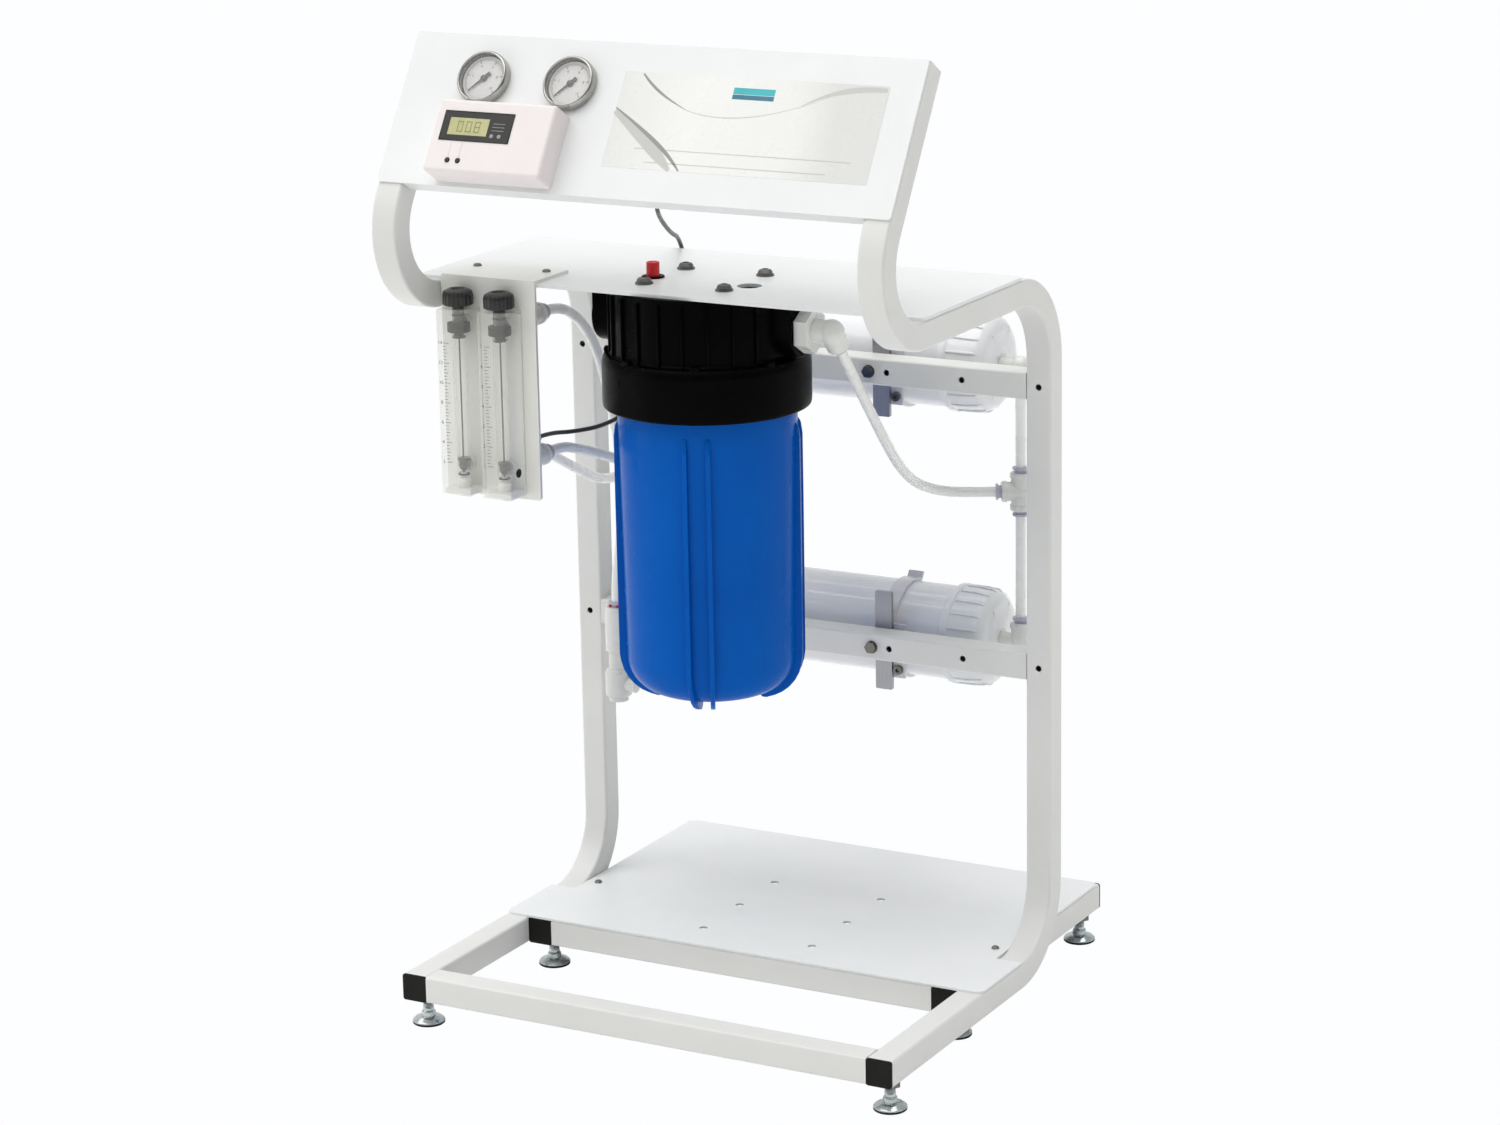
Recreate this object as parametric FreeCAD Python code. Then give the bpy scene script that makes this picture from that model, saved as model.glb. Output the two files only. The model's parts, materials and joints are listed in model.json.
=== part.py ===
import FreeCAD, Part
import math
import os

# Free-standing reverse osmosis water unit on a bent square-tube stand.
# Millimetres, +Z up, +X to the right seen from the front, the front looks to -Y.
# The construction below counts Y from the front face of the floor tubes; every
# shape is then moved back by YC so that the origin is the middle of the footprint
# on the floor.

V = FreeCAD.Vector
os.makedirs("parts", exist_ok=True)

# ------------------------------------------------------------------ dimensions
YC = 247.5            # middle of the depth: Y shift of the finished model
WIDTH = 500.0         # over the two side frames
T = 25.0              # square tube
TW = 1.5              # tube wall
TR = 2.4              # outside corner radius of the tube
ZB = 28.0             # underside of the floor tubes above the floor
HW = WIDTH / 2.0
XI = HW - T           # inner faces of the side frames
XC = HW - T / 2.0     # centre plane of a side frame
Y_UP = 343.0          # centre of the uprights
BEND_R = 72.5         # centre-line radius, lower bend and shoulder
Z_ARM = 675.5         # centre height of the arms under the shelf
UB_Y, UB_Z = 74.06, 738.0   # centre of the forward U bend
UB_R = 62.5           # its centre-line radius
LEAN = math.radians(32.0)  # console leans back by this much
PLATE_T = 2.0
Y_MID = 180.0         # front ends of the inner floor tubes
Y_REAR = 501.0        # their rear ends
SHELF_T = 3.0
SHELF_Y0, SHELF_Y1 = 72.0, 272.0
Z_SHELF = Z_ARM + T / 2.0          # underside of the shelf = top of the arms
Z_R1, Z_R2 = 578.5, 316.0          # rail centres
RAIL_HOLES = (-161.0, -85.0, 85.0, 161.0)
BRACKET_X = (-101.0, 67.0)
PANEL_H = 143.0
FX, FY = -1.0, 149.0               # filter housing axis
MEM_Y = 408.0                      # membrane axes, behind the rails
MEM_X0, MEM_X1 = -200.0, 165.0     # outer faces of the membrane caps
SHELL_R = 44.5
CAP_R = 47.6
LINK_R = 184.0                     # X of the feed risers, right
LINK_L = -212.0                    # X of the left link tubes
CONC_Y = 434.0                     # Y of the concentrate line
TUBE_D = 9.5                       # 3/8 inch tube
CABLE_D = 4.0
PUSH_R = 4.85                      # bore of an open push-fit port

Z_DIR = V(0, 0, 1)
X_DIR = V(1, 0, 0)
Y_DIR = V(0, 1, 0)
nodes = {}


def put(name, *shapes):
    nodes[name] = list(shapes)


# ------------------------------------------------------------------ helpers
def box(x0, x1, y0, y1, z0, z1):
    return Part.makeBox(x1 - x0, y1 - y0, z1 - z0, V(x0, y0, z0))


def cyl(r, p, d, h):
    return Part.makeCylinder(r, h, V(*p), V(*d))


def fuse(shapes):
    s = shapes[0]
    if len(shapes) > 1:
        s = s.multiFuse(shapes[1:])
    s = s.removeSplitter()
    if s.ShapeType == "Compound" and len(s.Solids) == 1:
        s = s.Solids[0]
    return s


def cut(a, *tools):
    s = a
    for t in tools:
        s = s.cut(t)
    if s.ShapeType == "Compound" and len(s.Solids) == 1:
        s = s.Solids[0]
    return s


def long_edges(shape, axis, length):
    out = []
    for e in shape.Edges:
        if abs(e.Length - length) < 1e-3 and len(e.Vertexes) == 2:
            d = e.Vertexes[1].Point - e.Vertexes[0].Point
            if abs(abs(d.dot(axis)) - length) < 1e-3:
                out.append(e)
    return out


def rbox(x0, x1, y0, y1, z0, z1, r, axis=None):
    """box with rounded edges: all edges, or only those along one axis"""
    b = box(x0, x1, y0, y1, z0, z1)
    if axis is None:
        return b.makeFillet(r, b.Edges)
    n = {"x": x1 - x0, "y": y1 - y0, "z": z1 - z0}[axis]
    a = {"x": X_DIR, "y": Y_DIR, "z": Z_DIR}[axis]
    return b.makeFillet(r, long_edges(b, a, n))


def square_tube(x0, x1, y0, y1, z0, z1, axis):
    """hollow square tube along x, y or z, open ends"""
    o = rbox(x0, x1, y0, y1, z0, z1, TR, axis)
    g = {"x": (0, 1, 1), "y": (1, 0, 1), "z": (1, 1, 0)}[axis]
    i = rbox(x0 + TW * g[0] - (1 - g[0]), x1 - TW * g[0] + (1 - g[0]),
             y0 + TW * g[1] - (1 - g[1]), y1 - TW * g[1] + (1 - g[1]),
             z0 + TW * g[2] - (1 - g[2]), z1 - TW * g[2] + (1 - g[2]), TR - TW, axis)
    return cut(o, i)


def revolve(pts, cx, cy):
    """closed (r, z) profile turned round a vertical axis"""
    w = Part.makePolygon([V(r, 0, z) for r, z in pts + [pts[0]]])
    s = Part.Face(w).revolve(V(0, 0, 0), Z_DIR, 360)
    if s.ShapeType != "Solid":
        s = Part.Solid(s.Shells[0]) if s.Shells else s
    if s.Volume < 0:
        s.reverse()
    s.translate(V(cx, cy, 0))
    return s


def revolve_x(pts, cy, cz):
    """closed (x, r) profile turned round an axis along X"""
    w = Part.makePolygon([V(x, 0, r) for x, r in pts + [pts[0]]])
    s = Part.Face(w).revolve(V(0, 0, 0), X_DIR, 360)
    if s.Volume < 0:
        s.reverse()
    s.translate(V(0, cy, cz))
    return s


def arc_pts(cx, cy, r, a0, a1, n):
    return [(cx + r * math.cos(math.radians(a0 + (a1 - a0) * i / n)),
             cy + r * math.sin(math.radians(a0 + (a1 - a0) * i / n))) for i in range(n + 1)]


def hexagon(af, p, d, h):
    """hexagonal prism, af across flats, from point p along d"""
    r = af / math.sqrt(3.0)
    w = Part.makePolygon([V(r * math.cos(math.radians(60 * i)), r * math.sin(math.radians(60 * i)), 0) for i in range(7)])
    s = Part.Face(w).extrude(V(0, 0, h))
    s.Placement = FreeCAD.Placement(V(*p), FreeCAD.Rotation(Z_DIR, V(*d)))
    return s


# ------------------------------------------------------------------ side frames
def side_path(off):
    """half-thickness offset outline of one bent side frame in its own plane"""
    zb = ZB + T / 2.0
    cy = Y_UP - BEND_R
    edges = []
    a_end = 180.0 - math.degrees(LEAN)
    e = (math.sin(LEAN), math.cos(LEAN))
    run = None

    def p(y, z):
        return V(0, y, z)

    def arc(c, r, a0, am, a1):
        pt = lambda a: p(c[0] + r * math.cos(math.radians(a)), c[1] + r * math.sin(math.radians(a)))
        return Part.Arc(pt(a0), pt(am), pt(a1)).toShape()

    c1 = (cy, zb + BEND_R)
    c2 = (cy, Z_ARM - BEND_R)
    c3 = (UB_Y, UB_Z)
    s_end = lambda r: (c3[0] + r * math.cos(math.radians(a_end)), c3[1] + r * math.sin(math.radians(a_end)))
    top_v = 142.0
    # length of the straight console run, measured on the front face of the panel
    f0 = (c3[0] + (UB_R + T / 2.0) * math.cos(math.radians(a_end)), c3[1] + (UB_R + T / 2.0) * math.sin(math.radians(a_end)))
    run = (PANEL_Z - f0[1]) / e[1] + top_v

    def side(sign):
        """sign +1: the side away from the first bend centre, -1: towards it"""
        r1 = BEND_R + sign * off
        r3 = UB_R - sign * off
        es = [Part.LineSegment(p(Y_START, zb - sign * off), p(cy, zb - sign * off)).toShape(),
              arc(c1, r1, -90, -45, 0),
              Part.LineSegment(p(cy + r1, c1[1]), p(cy + r1, c2[1])).toShape(),
              arc(c2, r1, 0, 45, 90),
              Part.LineSegment(p(cy, Z_ARM + sign * off), p(UB_Y, Z_ARM + sign * off)).toShape(),
              arc(c3, r3, -90, -(90 + (360 - 90 - a_end) / 2.0), -(360 - a_end))]
        q = s_end(r3)
        es.append(Part.LineSegment(p(*q), p(q[0] + run * e[0], q[1] + run * e[1])).toShape())
        return es, (q[0] + run * e[0], q[1] + run * e[1])

    a, qa = side(1)
    b, qb = side(-1)
    cap1 = Part.LineSegment(p(*qa), p(*qb)).toShape()
    cap0 = Part.LineSegment(p(Y_START, zb + off), p(Y_START, zb - off)).toShape()
    w = Part.Wire(Part.__sortEdges__(a + [cap1] + b + [cap0]))
    return Part.Face(w)


Y_START = 2.0          # the tube starts behind its end plug
PANEL_Y, PANEL_Z = 12.0, 784.0   # lower front edge of the console panel
E = V(0, math.sin(LEAN), math.cos(LEAN))      # up the panel
F = V(0, -math.cos(LEAN), math.sin(LEAN))     # out of the panel, to the front
P0 = V(0, PANEL_Y, PANEL_Z)


def local(shape):
    """from panel coordinates (u right, v up the panel, w out of it) to the model"""
    m = FreeCAD.Matrix(1, 0, 0, P0.x, 0, E.y, F.y, P0.y, 0, E.z, F.z, P0.z, 0, 0, 0, 1)
    s = shape.copy()
    s.transformShape(m)
    return s


def side_frame(x0):
    o = side_path(T / 2.0).extrude(V(T, 0, 0))
    rim = []
    for ed in o.Edges:
        xs = [v.Point.x for v in ed.Vertexes]
        if max(xs) - min(xs) < 1e-6:
            ys = [v.Point.y for v in ed.Vertexes]
            zs = [v.Point.z for v in ed.Vertexes]
            at_start = max(ys) - Y_START < 1e-6
            end_len = abs(ed.Length - T) < 1e-3 and max(zs) > 880
            if not at_start and not end_len:
                rim.append(ed)
    try:
        o = o.makeFillet(TR, rim)
    except Exception:
        print("side frame edge rounding left out")
    i = side_path(T / 2.0 - TW).extrude(V(T - 2 * TW, 0, 0))
    i.translate(V(TW, 0, 0))
    s = cut(o, i)
    s.translate(V(x0, 0, 0))
    return s


left_f = side_frame(-HW)
right_f = side_frame(XI)
foot_xy = [("front_left", -XC, 22.0), ("front_right", XC, 22.0),
           ("middle_left", -XI + T / 2.0, 205.0), ("middle_right", XI - T / 2.0, 205.0),
           ("rear_left", -XI + T / 2.0, 480.0), ("rear_right", XI - T / 2.0, 480.0)]
STUD_R = 5.0
STUD_HOLE = 5.35
HOLE_R = 3.0


def stud_hole(x, y):
    return cyl(STUD_HOLE, (x, y, ZB - 1), (0, 0, 1), 4)


for sgn in (-1, 1):
    f = left_f if sgn < 0 else right_f
    f = cut(f, stud_hole(sgn * XC, 22.0))
    for z in (Z_R1, Z_R2):
        f = cut(f, cyl(HOLE_R, (sgn * XC, Y_UP - T, z), (0, 1, 0), T * 0.5 + 4))
    if sgn < 0:
        left_f = f
    else:
        right_f = f
put("side_frame_left", left_f)
put("side_frame_right", right_f)

put("front_cross_tube", square_tube(-XI, XI, 0, T, ZB, ZB + T, "x"))
for name, sgn in (("base_tube_left", -1), ("base_tube_right", 1)):
    x0, x1 = (-XI, -XI + T) if sgn < 0 else (XI - T, XI)
    t = square_tube(x0, x1, Y_MID + 2, Y_REAR - 2, ZB, ZB + T, "y")
    xc = (x0 + x1) / 2.0
    t = cut(t, stud_hole(xc, 205.0), stud_hole(xc, 480.0), cyl(1.6, (xc, 290.0, ZB + T - 4), (0, 0, 1), 6))
    put(name, t)
put("inner_cross_tubes", square_tube(-XI + T, XI - T, Y_MID, Y_MID + T, ZB, ZB + T, "x"),
    square_tube(-XI + T, XI - T, 468.0, 468.0 + T, ZB, ZB + T, "x"))


def end_plug(xc, y, d):
    """square end plug, head flush with the tube, d = +1 or -1 into the tube along Y"""
    h = T / 2.0
    y0, y1 = (y, y + 2) if d > 0 else (y - 2, y)
    head = rbox(xc - h, xc + h, y0, y1, ZB, ZB + T, TR, "y")
    k = h - TW - 0.05
    s0, s1 = (y + 2, y + 14) if d > 0 else (y - 14, y - 2)
    stem = box(xc - k, xc + k, s0, s1, ZB + T / 2 - k, ZB + T / 2 + k)
    core = box(xc - k + 2, xc + k - 2, s0 - (0 if d > 0 else 1), s1 + (1 if d > 0 else 0), ZB + T / 2 - k + 2, ZB + T / 2 + k - 2)
    stem = stem.makeFillet(0.85, long_edges(stem, Y_DIR, 12.0))
    return fuse([head, cut(stem, core)])


put("end_plugs", end_plug(-XC, 0, 1), end_plug(XC, 0, 1),
    end_plug(-XI + T / 2, Y_MID, 1), end_plug(XI - T / 2, Y_MID, 1),
    end_plug(-XI + T / 2, Y_REAR, -1), end_plug(XI - T / 2, Y_REAR, -1))

# ------------------------------------------------------------------ levelling feet
lock = []
for name, x, y in foot_xy:
    prof = [(0, 0), (14.2, 0), (15, 0.8), (15, 2.6)] + arc_pts(7.0, -2.2, 8.6, 34, 84, 8) + \
           [(6.4, 7.4), (6.4, 11.5), (5.6, 12.4), (STUD_R, 12.4), (STUD_R, 41.2), (4.2, 42.0), (0, 42.0)]
    put("foot_" + name, revolve(prof, x, y))
    nut = hexagon(17.0, (x, y, ZB - 6.2), (0, 0, 1), 6.2)
    lock.append(cut(nut, cyl(STUD_HOLE, (x, y, ZB - 7), (0, 0, 1), 8)))
put("foot_locknuts", *lock)

# ------------------------------------------------------------------ base plate
zp = ZB + T
wide = box(-HW, HW, Y_MID, 266.0, zp, zp + PLATE_T)
narrow = box(-XI + 0.6, XI - 0.6, Y_MID, 497.0, zp, zp + PLATE_T)
plate = fuse([wide, narrow])
plate = plate.makeFillet(8.0, [e for e in plate.Edges if abs(e.Length - PLATE_T) < 1e-6 and
                               (e.Vertexes[0].Point.y < Y_MID + 1 or e.Vertexes[0].Point.y > 496)])
PUMP_X, PUMP_Y, PUMP_P, PUMP_R = 57.5, 292.5, 71.0, 4.0
for sx in (-1, 1):
    for k in (-1, 0, 1):
        plate = cut(plate, cyl(PUMP_R, (sx * PUMP_X, PUMP_Y + k * PUMP_P, zp - 1), (0, 0, 1), 4))
screws = []
for sx in (-1, 1):
    x = sx * (XI - T / 2)
    plate = cut(plate, cyl(2.1, (x, 290.0, zp - 1), (0, 0, 1), 4))
    hd = revolve([(0, zp + 2), (3.6, zp + 2), (3.6, zp + 2.8), (2.6, zp + 4.0), (0, zp + 4.2)], x, 290.0)
    screws.append(fuse([hd, cyl(1.5, (x, 290.0, zp - 8), (0, 0, 1), 10.2)]))
put("base_plate", plate)

# ------------------------------------------------------------------ shelf
BOLT_XY = [(FX - 40, 111.5), (FX + 40, 111.5), (FX - 40, 186.5), (FX + 40, 186.5)]
RELIEF = (-48.5, 140.5)
ACCESS = (49.0, 139.0)
shelf = box(-HW, HW, SHELF_Y0, SHELF_Y1, Z_SHELF, Z_SHELF + SHELF_T)
shelf = shelf.makeFillet(6.0, [e for e in shelf.Edges if abs(e.Length - SHELF_T) < 1e-6])
for x, y in BOLT_XY:
    shelf = cut(shelf, cyl(4.2, (x, y, Z_SHELF - 1), (0, 0, 1), 6))
shelf = cut(shelf, cyl(9.0, RELIEF + (Z_SHELF - 1,), (0, 0, 1), 6), cyl(11.0, ACCESS + (Z_SHELF - 1,), (0, 0, 1), 6))
MB_SCREWS = ((-213.0, 112.0), (-141.0, 112.0))
for x, y in MB_SCREWS:
    shelf = cut(shelf, cyl(2.1, (x, y, Z_SHELF - 1), (0, 0, 1), 6))
put("shelf_plate", shelf)

# ------------------------------------------------------------------ rails
for name, z in (("upper_rail", Z_R1), ("lower_rail", Z_R2)):
    r = square_tube(-XI, XI, Y_UP - T / 2, Y_UP + T / 2, z - T / 2, z + T / 2, "x")
    for x in RAIL_HOLES:
        r = cut(r, cyl(HOLE_R, (x, Y_UP - T / 2 - 1, z), (0, 1, 0), 4))
    for x in BRACKET_X:
        r = cut(r, cyl(3.1, (x, Y_UP - T, z), (0, 1, 0), 2 * T))
    put(name, r)

# ------------------------------------------------------------------ console panel
pan = Part.makeBox(WIDTH, PANEL_H, 2.0, V(-HW, 0, -2.0))
pan = pan.makeFillet(3.0, [e for e in pan.Edges if abs(e.Length - 2.0) < 1e-6])
lip = 13.0
lo = Part.makeBox(2 * (XI - 1), 2.0, lip, V(-XI + 1, 0, -2.0 - lip))
hi = Part.makeBox(2 * (XI - 1), 2.0, lip, V(-XI + 1, PANEL_H - 2.0, -2.0 - lip))
pan = fuse([pan, lo, hi])
GAUGES = ((-168.3, 100.8), (-81.2, 100.8))
for u, v in GAUGES:
    pan = cut(pan, Part.makeCylinder(20.0, 6, V(u, v, -4)))
GLAND = (0.0, 40.0)
pan = cut(pan, Part.makeCylinder(4.0, 6, V(GLAND[0], GLAND[1], -4)))
put("console_panel", local(pan))

# ------------------------------------------------------------------ gauges
cases, dials, lenses = [], [], []


def rev_w(prof, u, v):
    """(r, w) profile turned round an axis out of the panel"""
    w = Part.makePolygon([V(r, 0, z) for r, z in prof + [prof[0]]])
    s = Part.Face(w).revolve(V(0, 0, 0), Z_DIR, 360)
    if s.Volume < 0:
        s.reverse()
    s.translate(V(u, v, 0))
    return s


for i, (u, v) in enumerate(GAUGES):
    case = rev_w([(0, -22), (18.0, -22), (19.6, -20.4), (19.6, 0.0), (24.7, 0.0), (24.7, 6.4), (24.0, 8.2), (22.9, 9.0),
                  (22.2, 9.0), (21.7, 8.4), (21.7, 6.9), (22.2, 6.9), (22.2, 1.6), (19.0, 1.6), (18.2, 0.8), (18.2, -20.0), (0, -20.0)], u, v)
    stem = fuse([Part.makeCylinder(5.5, 8, V(u, v, -30)), hexagon(14.0, (u, v, -36), (0, 0, 1), 6)])
    stem = fuse([stem, Part.makeCylinder(4.8, 9, V(u, v, -45))])
    case = fuse([case, stem])
    cases.append(local(case))
    dial = rev_w([(0, 2.0), (22.0, 2.0), (22.0, 2.6), (0, 2.6)], u, v)
    post = Part.makeCylinder(1.0, 3.2, V(u, v, 1.7))
    dials.append(local(fuse([dial, post])))
    lenses.append(local(Part.makeCylinder(22.1, 1.4, V(u, v, 5.4))))
    # needle at rest points to zero, down and to the left
    hub = Part.makeCylinder(2.6, 1.2, V(0, 0, 3.4))
    arm = Part.Face(Part.makePolygon([V(0, -1.1, 3.6), V(17.0, -0.25, 3.6), V(17.0, 0.25, 3.6), V(0, 1.1, 3.6), V(-6.5, 1.5, 3.6), V(-6.5, -1.5, 3.6), V(0, -1.1, 3.6)])).extrude(V(0, 0, 0.6))
    n = cut(fuse([hub, arm]), Part.makeCylinder(1.06, 3, V(0, 0, 2.8)))
    n.rotate(V(0, 0, 0), Z_DIR, 225.0)
    n.translate(V(u, v, 0))
    put("gauge_needle_" + ("left", "right")[i], local(n))
put("gauge_cases", *cases)
put("gauge_dials", *dials)
put("gauge_lenses", *lenses)

# ------------------------------------------------------------------ water quality meter on the panel
TU0, TU1, TV0, TV1, TD = -191.0, -74.0, 4.0, 71.5, 25.0
case = Part.makeBox(TU1 - TU0, TV1 - TV0, TD, V(TU0, TV0, 0))
case = case.makeFillet(3.0, [e for e in case.Edges if not (abs(e.Vertexes[0].Point.z) < 1e-6 and abs(e.Vertexes[1].Point.z) < 1e-6)])
case = cut(case, Part.makeBox(TU1 - TU0 - 5, TV1 - TV0 - 5, TD - 2.5, V(TU0 + 2.5, TV0 + 2.5, 0)))
WIN = (-181.5, -113.0, 33.5, 59.5)
case = cut(case, Part.makeBox(WIN[1] - WIN[0], WIN[3] - WIN[2], 3.5, V(WIN[0], WIN[2], TD - 3.0)))
BUTTONS = ((-168.0, 14.5), (-157.5, 14.5))
for i, (u, v) in enumerate(BUTTONS):
    case = cut(case, Part.makeCylinder(2.6, 5, V(u, v, TD - 4)))
    b = fuse([Part.makeCylinder(2.2, 4.6, V(u, v, TD - 3.6)), Part.makeCylinder(3.4, 1.0, V(u, v, TD - 3.9))])
    b = b.makeFillet(0.5, [e for e in b.Edges if abs(e.Vertexes[0].Point.z - (TD + 1.0)) < 1e-6])
    put("meter_button_" + ("left", "right")[i], local(b))
put("quality_meter_case", local(case))
win = Part.makeBox(WIN[1] - WIN[0] - 0.2, WIN[3] - WIN[2] - 0.2, 3.4, V(WIN[0] + 0.1, WIN[2] + 0.1, TD - 3.0))
put("quality_meter_display", local(win))

# ------------------------------------------------------------------ prefilter housing
Z_SK0, Z_SK1 = 580.0, 628.0
HEAD_R = 84.0
SKIRT_R = 93.0
PORT_Z = 654.0
prof = [(0, 642), (72, 642), (72, 615), (82.5, 615), (82.5, Z_SK0 + 2), (84.0, Z_SK0), (91.0, Z_SK0), (SKIRT_R, Z_SK0 + 2.5),
        (SKIRT_R, Z_SK1 - 3), (SKIRT_R - 3, Z_SK1), (HEAD_R + 1, Z_SK1), (HEAD_R, Z_SK1 + 2), (HEAD_R, Z_SHELF - 1.5), (HEAD_R - 1.5, Z_SHELF), (0, Z_SHELF)]
head = revolve(prof, FX, FY)
parts_h = [head]
for sx, xe in ((-1, -104.0), (1, 96.0)):
    x0, x1 = (xe, FX - 50) if sx < 0 else (FX + 50, xe)
    parts_h.append(cyl(24.0, (x0, FY, PORT_Z), (1, 0, 0), x1 - x0))
    parts_h.append(box(x0, x1, FY - 24, FY + 24, PORT_Z, Z_SHELF))
for k in range(24):
    a = 15.0 * k
    if min(abs((a + 180) % 360 - 180), abs(a - 180)) < 20:
        continue
    rb = box(HEAD_R - 3, SKIRT_R - 4.5, -1.5, 1.5, Z_SK1 - 2, Z_SHELF - 6)
    rb.rotate(V(0, 0, 0), Z_DIR, a)
    rb.translate(V(FX, FY, 0))
    parts_h.append(rb)
spig = cyl(14.0, (FX, FY, 592.0), (0, 0, 1), 52.0)
parts_h.append(spig)
head = fuse(parts_h)
head = cut(head, cyl(12.1, (-105, FY, PORT_Z), (1, 0, 0), 45), cyl(8.0, (-62, FY, PORT_Z), (1, 0, 0), 34),
           cyl(10.95, (60, FY, PORT_Z), (1, 0, 0), 40), cyl(7.6, (FX, FY, PORT_Z), (1, 0, 0), 70),
           cyl(9.0, (FX, FY, 590), (0, 0, 1), 66), cyl(6.2, (FX - 38, FY, 638), (0, 0, 1), 13.5))
for x, y in BOLT_XY:
    head = cut(head, cyl(4.0, (x, y, Z_SHELF - 22), (0, 0, 1), 24))
head = cut(head, cyl(6.4, RELIEF + (668.0,), (0, 0, 1), 24), cyl(2.0, RELIEF + (660.0,), (0, 0, 1), 10))
put("filter_head", head)

bolts = []
zt = Z_SHELF + SHELF_T
for x, y in BOLT_XY:
    wsh = revolve([(0, zt), (8.0, zt), (8.0, zt + 1.4), (0, zt + 1.4)], x, y)
    hd = revolve([(0, zt + 1.2), (6.6, zt + 1.2), (6.6, zt + 3.4), (5.4, zt + 5.2), (3.0, zt + 6.0), (0, zt + 6.2)], x, y)
    hx = hexagon(5.0, (x, y, zt + 3.2), (0, 0, 1), 4.0)
    b = fuse([wsh, hd, cyl(3.9, (x, y, Z_SHELF - 20), (0, 0, 1), 25)])
    bolts.append(cut(b, hx))
put("filter_head_bolts", *bolts)

# sump: screws into the skirt from below
SR_TOP, SR_BOT, Z_S0 = 80.0, 77.0, 318.0
prof = [(0, Z_S0), (40.0, Z_S0)] + arc_pts(SR_BOT - 34.0, Z_S0 + 34.0, 34.0, -84, 0, 10) + \
       [(SR_TOP, 578.0), (SR_TOP, 584.0), (81.9, 585.5), (81.9, 589.0), (80.6, 590.2), (80.6, 593.0), (81.9, 594.2), (81.9, 597.0), (80.6, 598.2),
        (80.6, 601.0), (81.9, 602.2), (81.9, 605.0), (80.6, 606.2), (80.6, 612.0), (78.6, 612.0), (78.6, 610.0), (74.8, 610.0), (74.8, 612.0), (71.5, 612.0),
        (71.5, 596.0), (74.0, 590.0)] + [(SR_BOT - 5.0, 352.0)] + arc_pts(SR_BOT - 34.0, Z_S0 + 34.0, 29.0, 0, -84, 10) + \
       [(38.0, Z_S0 + 5.4), (0, Z_S0 + 5.4)]
sump = revolve(prof, FX, FY)
RIB_A = -68.5          # angle of the first pair of grip ribs, from +X
pieces = [sump]
for q in range(4):
    for dlt in (-7.2, 7.2):
        a = RIB_A + 90.0 * q + dlt
        outline = [(SR_BOT - 3.5, 560.0), (SR_TOP - 1.0, 566.0), (SR_TOP + 4.0, 556.0), (SR_TOP + 3.5, 352.0)] + \
                  [(SR_BOT - 34.0 + 40.0 * math.cos(math.radians(b)), Z_S0 + 33.0 + 40.0 * math.sin(math.radians(b))) for b in (-15, -35, -55, -72)] + \
                  [(46.0, Z_S0 - 7.0), (42.0, Z_S0 - 4.0), (42.0, Z_S0 + 1.5)] + \
                  [(SR_BOT - 34.0 + 31.5 * math.cos(math.radians(b)), Z_S0 + 34.0 + 31.5 * math.sin(math.radians(b))) for b in (-78, -60, -42, -22)] + \
                  [(SR_BOT - 3.0, 356.0)]
        w = Part.makePolygon([V(r, 0, z) for r, z in outline + [outline[0]]])
        rib = Part.Face(w).extrude(V(0, 4.2, 0))
        rib.translate(V(0, -2.1, 0))
        rib.rotate(V(0, 0, 0), Z_DIR, a)
        rib.translate(V(FX, FY, 0))
        pieces.append(rib)
sump = fuse(pieces)
sump = fuse([sump, cut(revolve([(0, Z_S0 + 4), (18, Z_S0 + 4), (18, 330), (0, 330)], FX, FY), cyl(13, (FX, FY, Z_S0 + 5.4), (0, 0, 1), 20))])
put("sump", sump)
ring = Part.makeTorus(76.7, 1.75, V(FX, FY, 611.75), Z_DIR)
put("sump_oring", ring)
cart = revolve([(14.6, 330.3), (56.0, 330.3), (57.0, 331.3), (57.0, 336.0), (55.0, 337.0), (55.0, 583.0), (57.0, 584.0), (57.0, 589.0), (56.0, 590.0), (14.6, 590.0)], FX, FY)
# pleated band and core with an annular hollow between them
cart = cut(cart, revolve([(19.0, 337.0), (49.0, 337.0), (49.0, 583.0), (19.0, 583.0)], FX, FY))
put("filter_cartridge", cart)
btn = fuse([cyl(5.9, RELIEF + (Z_SHELF + 3.4,), (0, 0, 1), 13.6), cyl(6.1, RELIEF + (672.0,), (0, 0, 1), 19.6)])
btn = btn.makeFillet(1.2, [e for e in btn.Edges if e.BoundBox.ZMin > Z_SHELF + 16.9])
put("relief_button", btn)

# ------------------------------------------------------------------ push-fit fittings
collets, clips = [], []
BODY_R = 9.0
ARM = 18.0
COL_R, COL_L = 7.6, 5.0


def unit(d):
    v = V(*d)
    v.normalize()
    return v


def collet(p, d, open_port=False, L=COL_L):
    """release collar at the mouth of a port; d points out of the mouth"""
    u = unit(d)
    p = V(*p)
    neck = Part.makeCylinder(6.0, L - 2.0, p, u)
    flange = Part.makeCylinder(COL_R, 2.0, p + u * (L - 2.0), u)
    s = fuse([neck, flange])
    return cut(s, Part.makeCylinder(PUSH_R if open_port else 3.3, L + 2, p - u, u))


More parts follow.
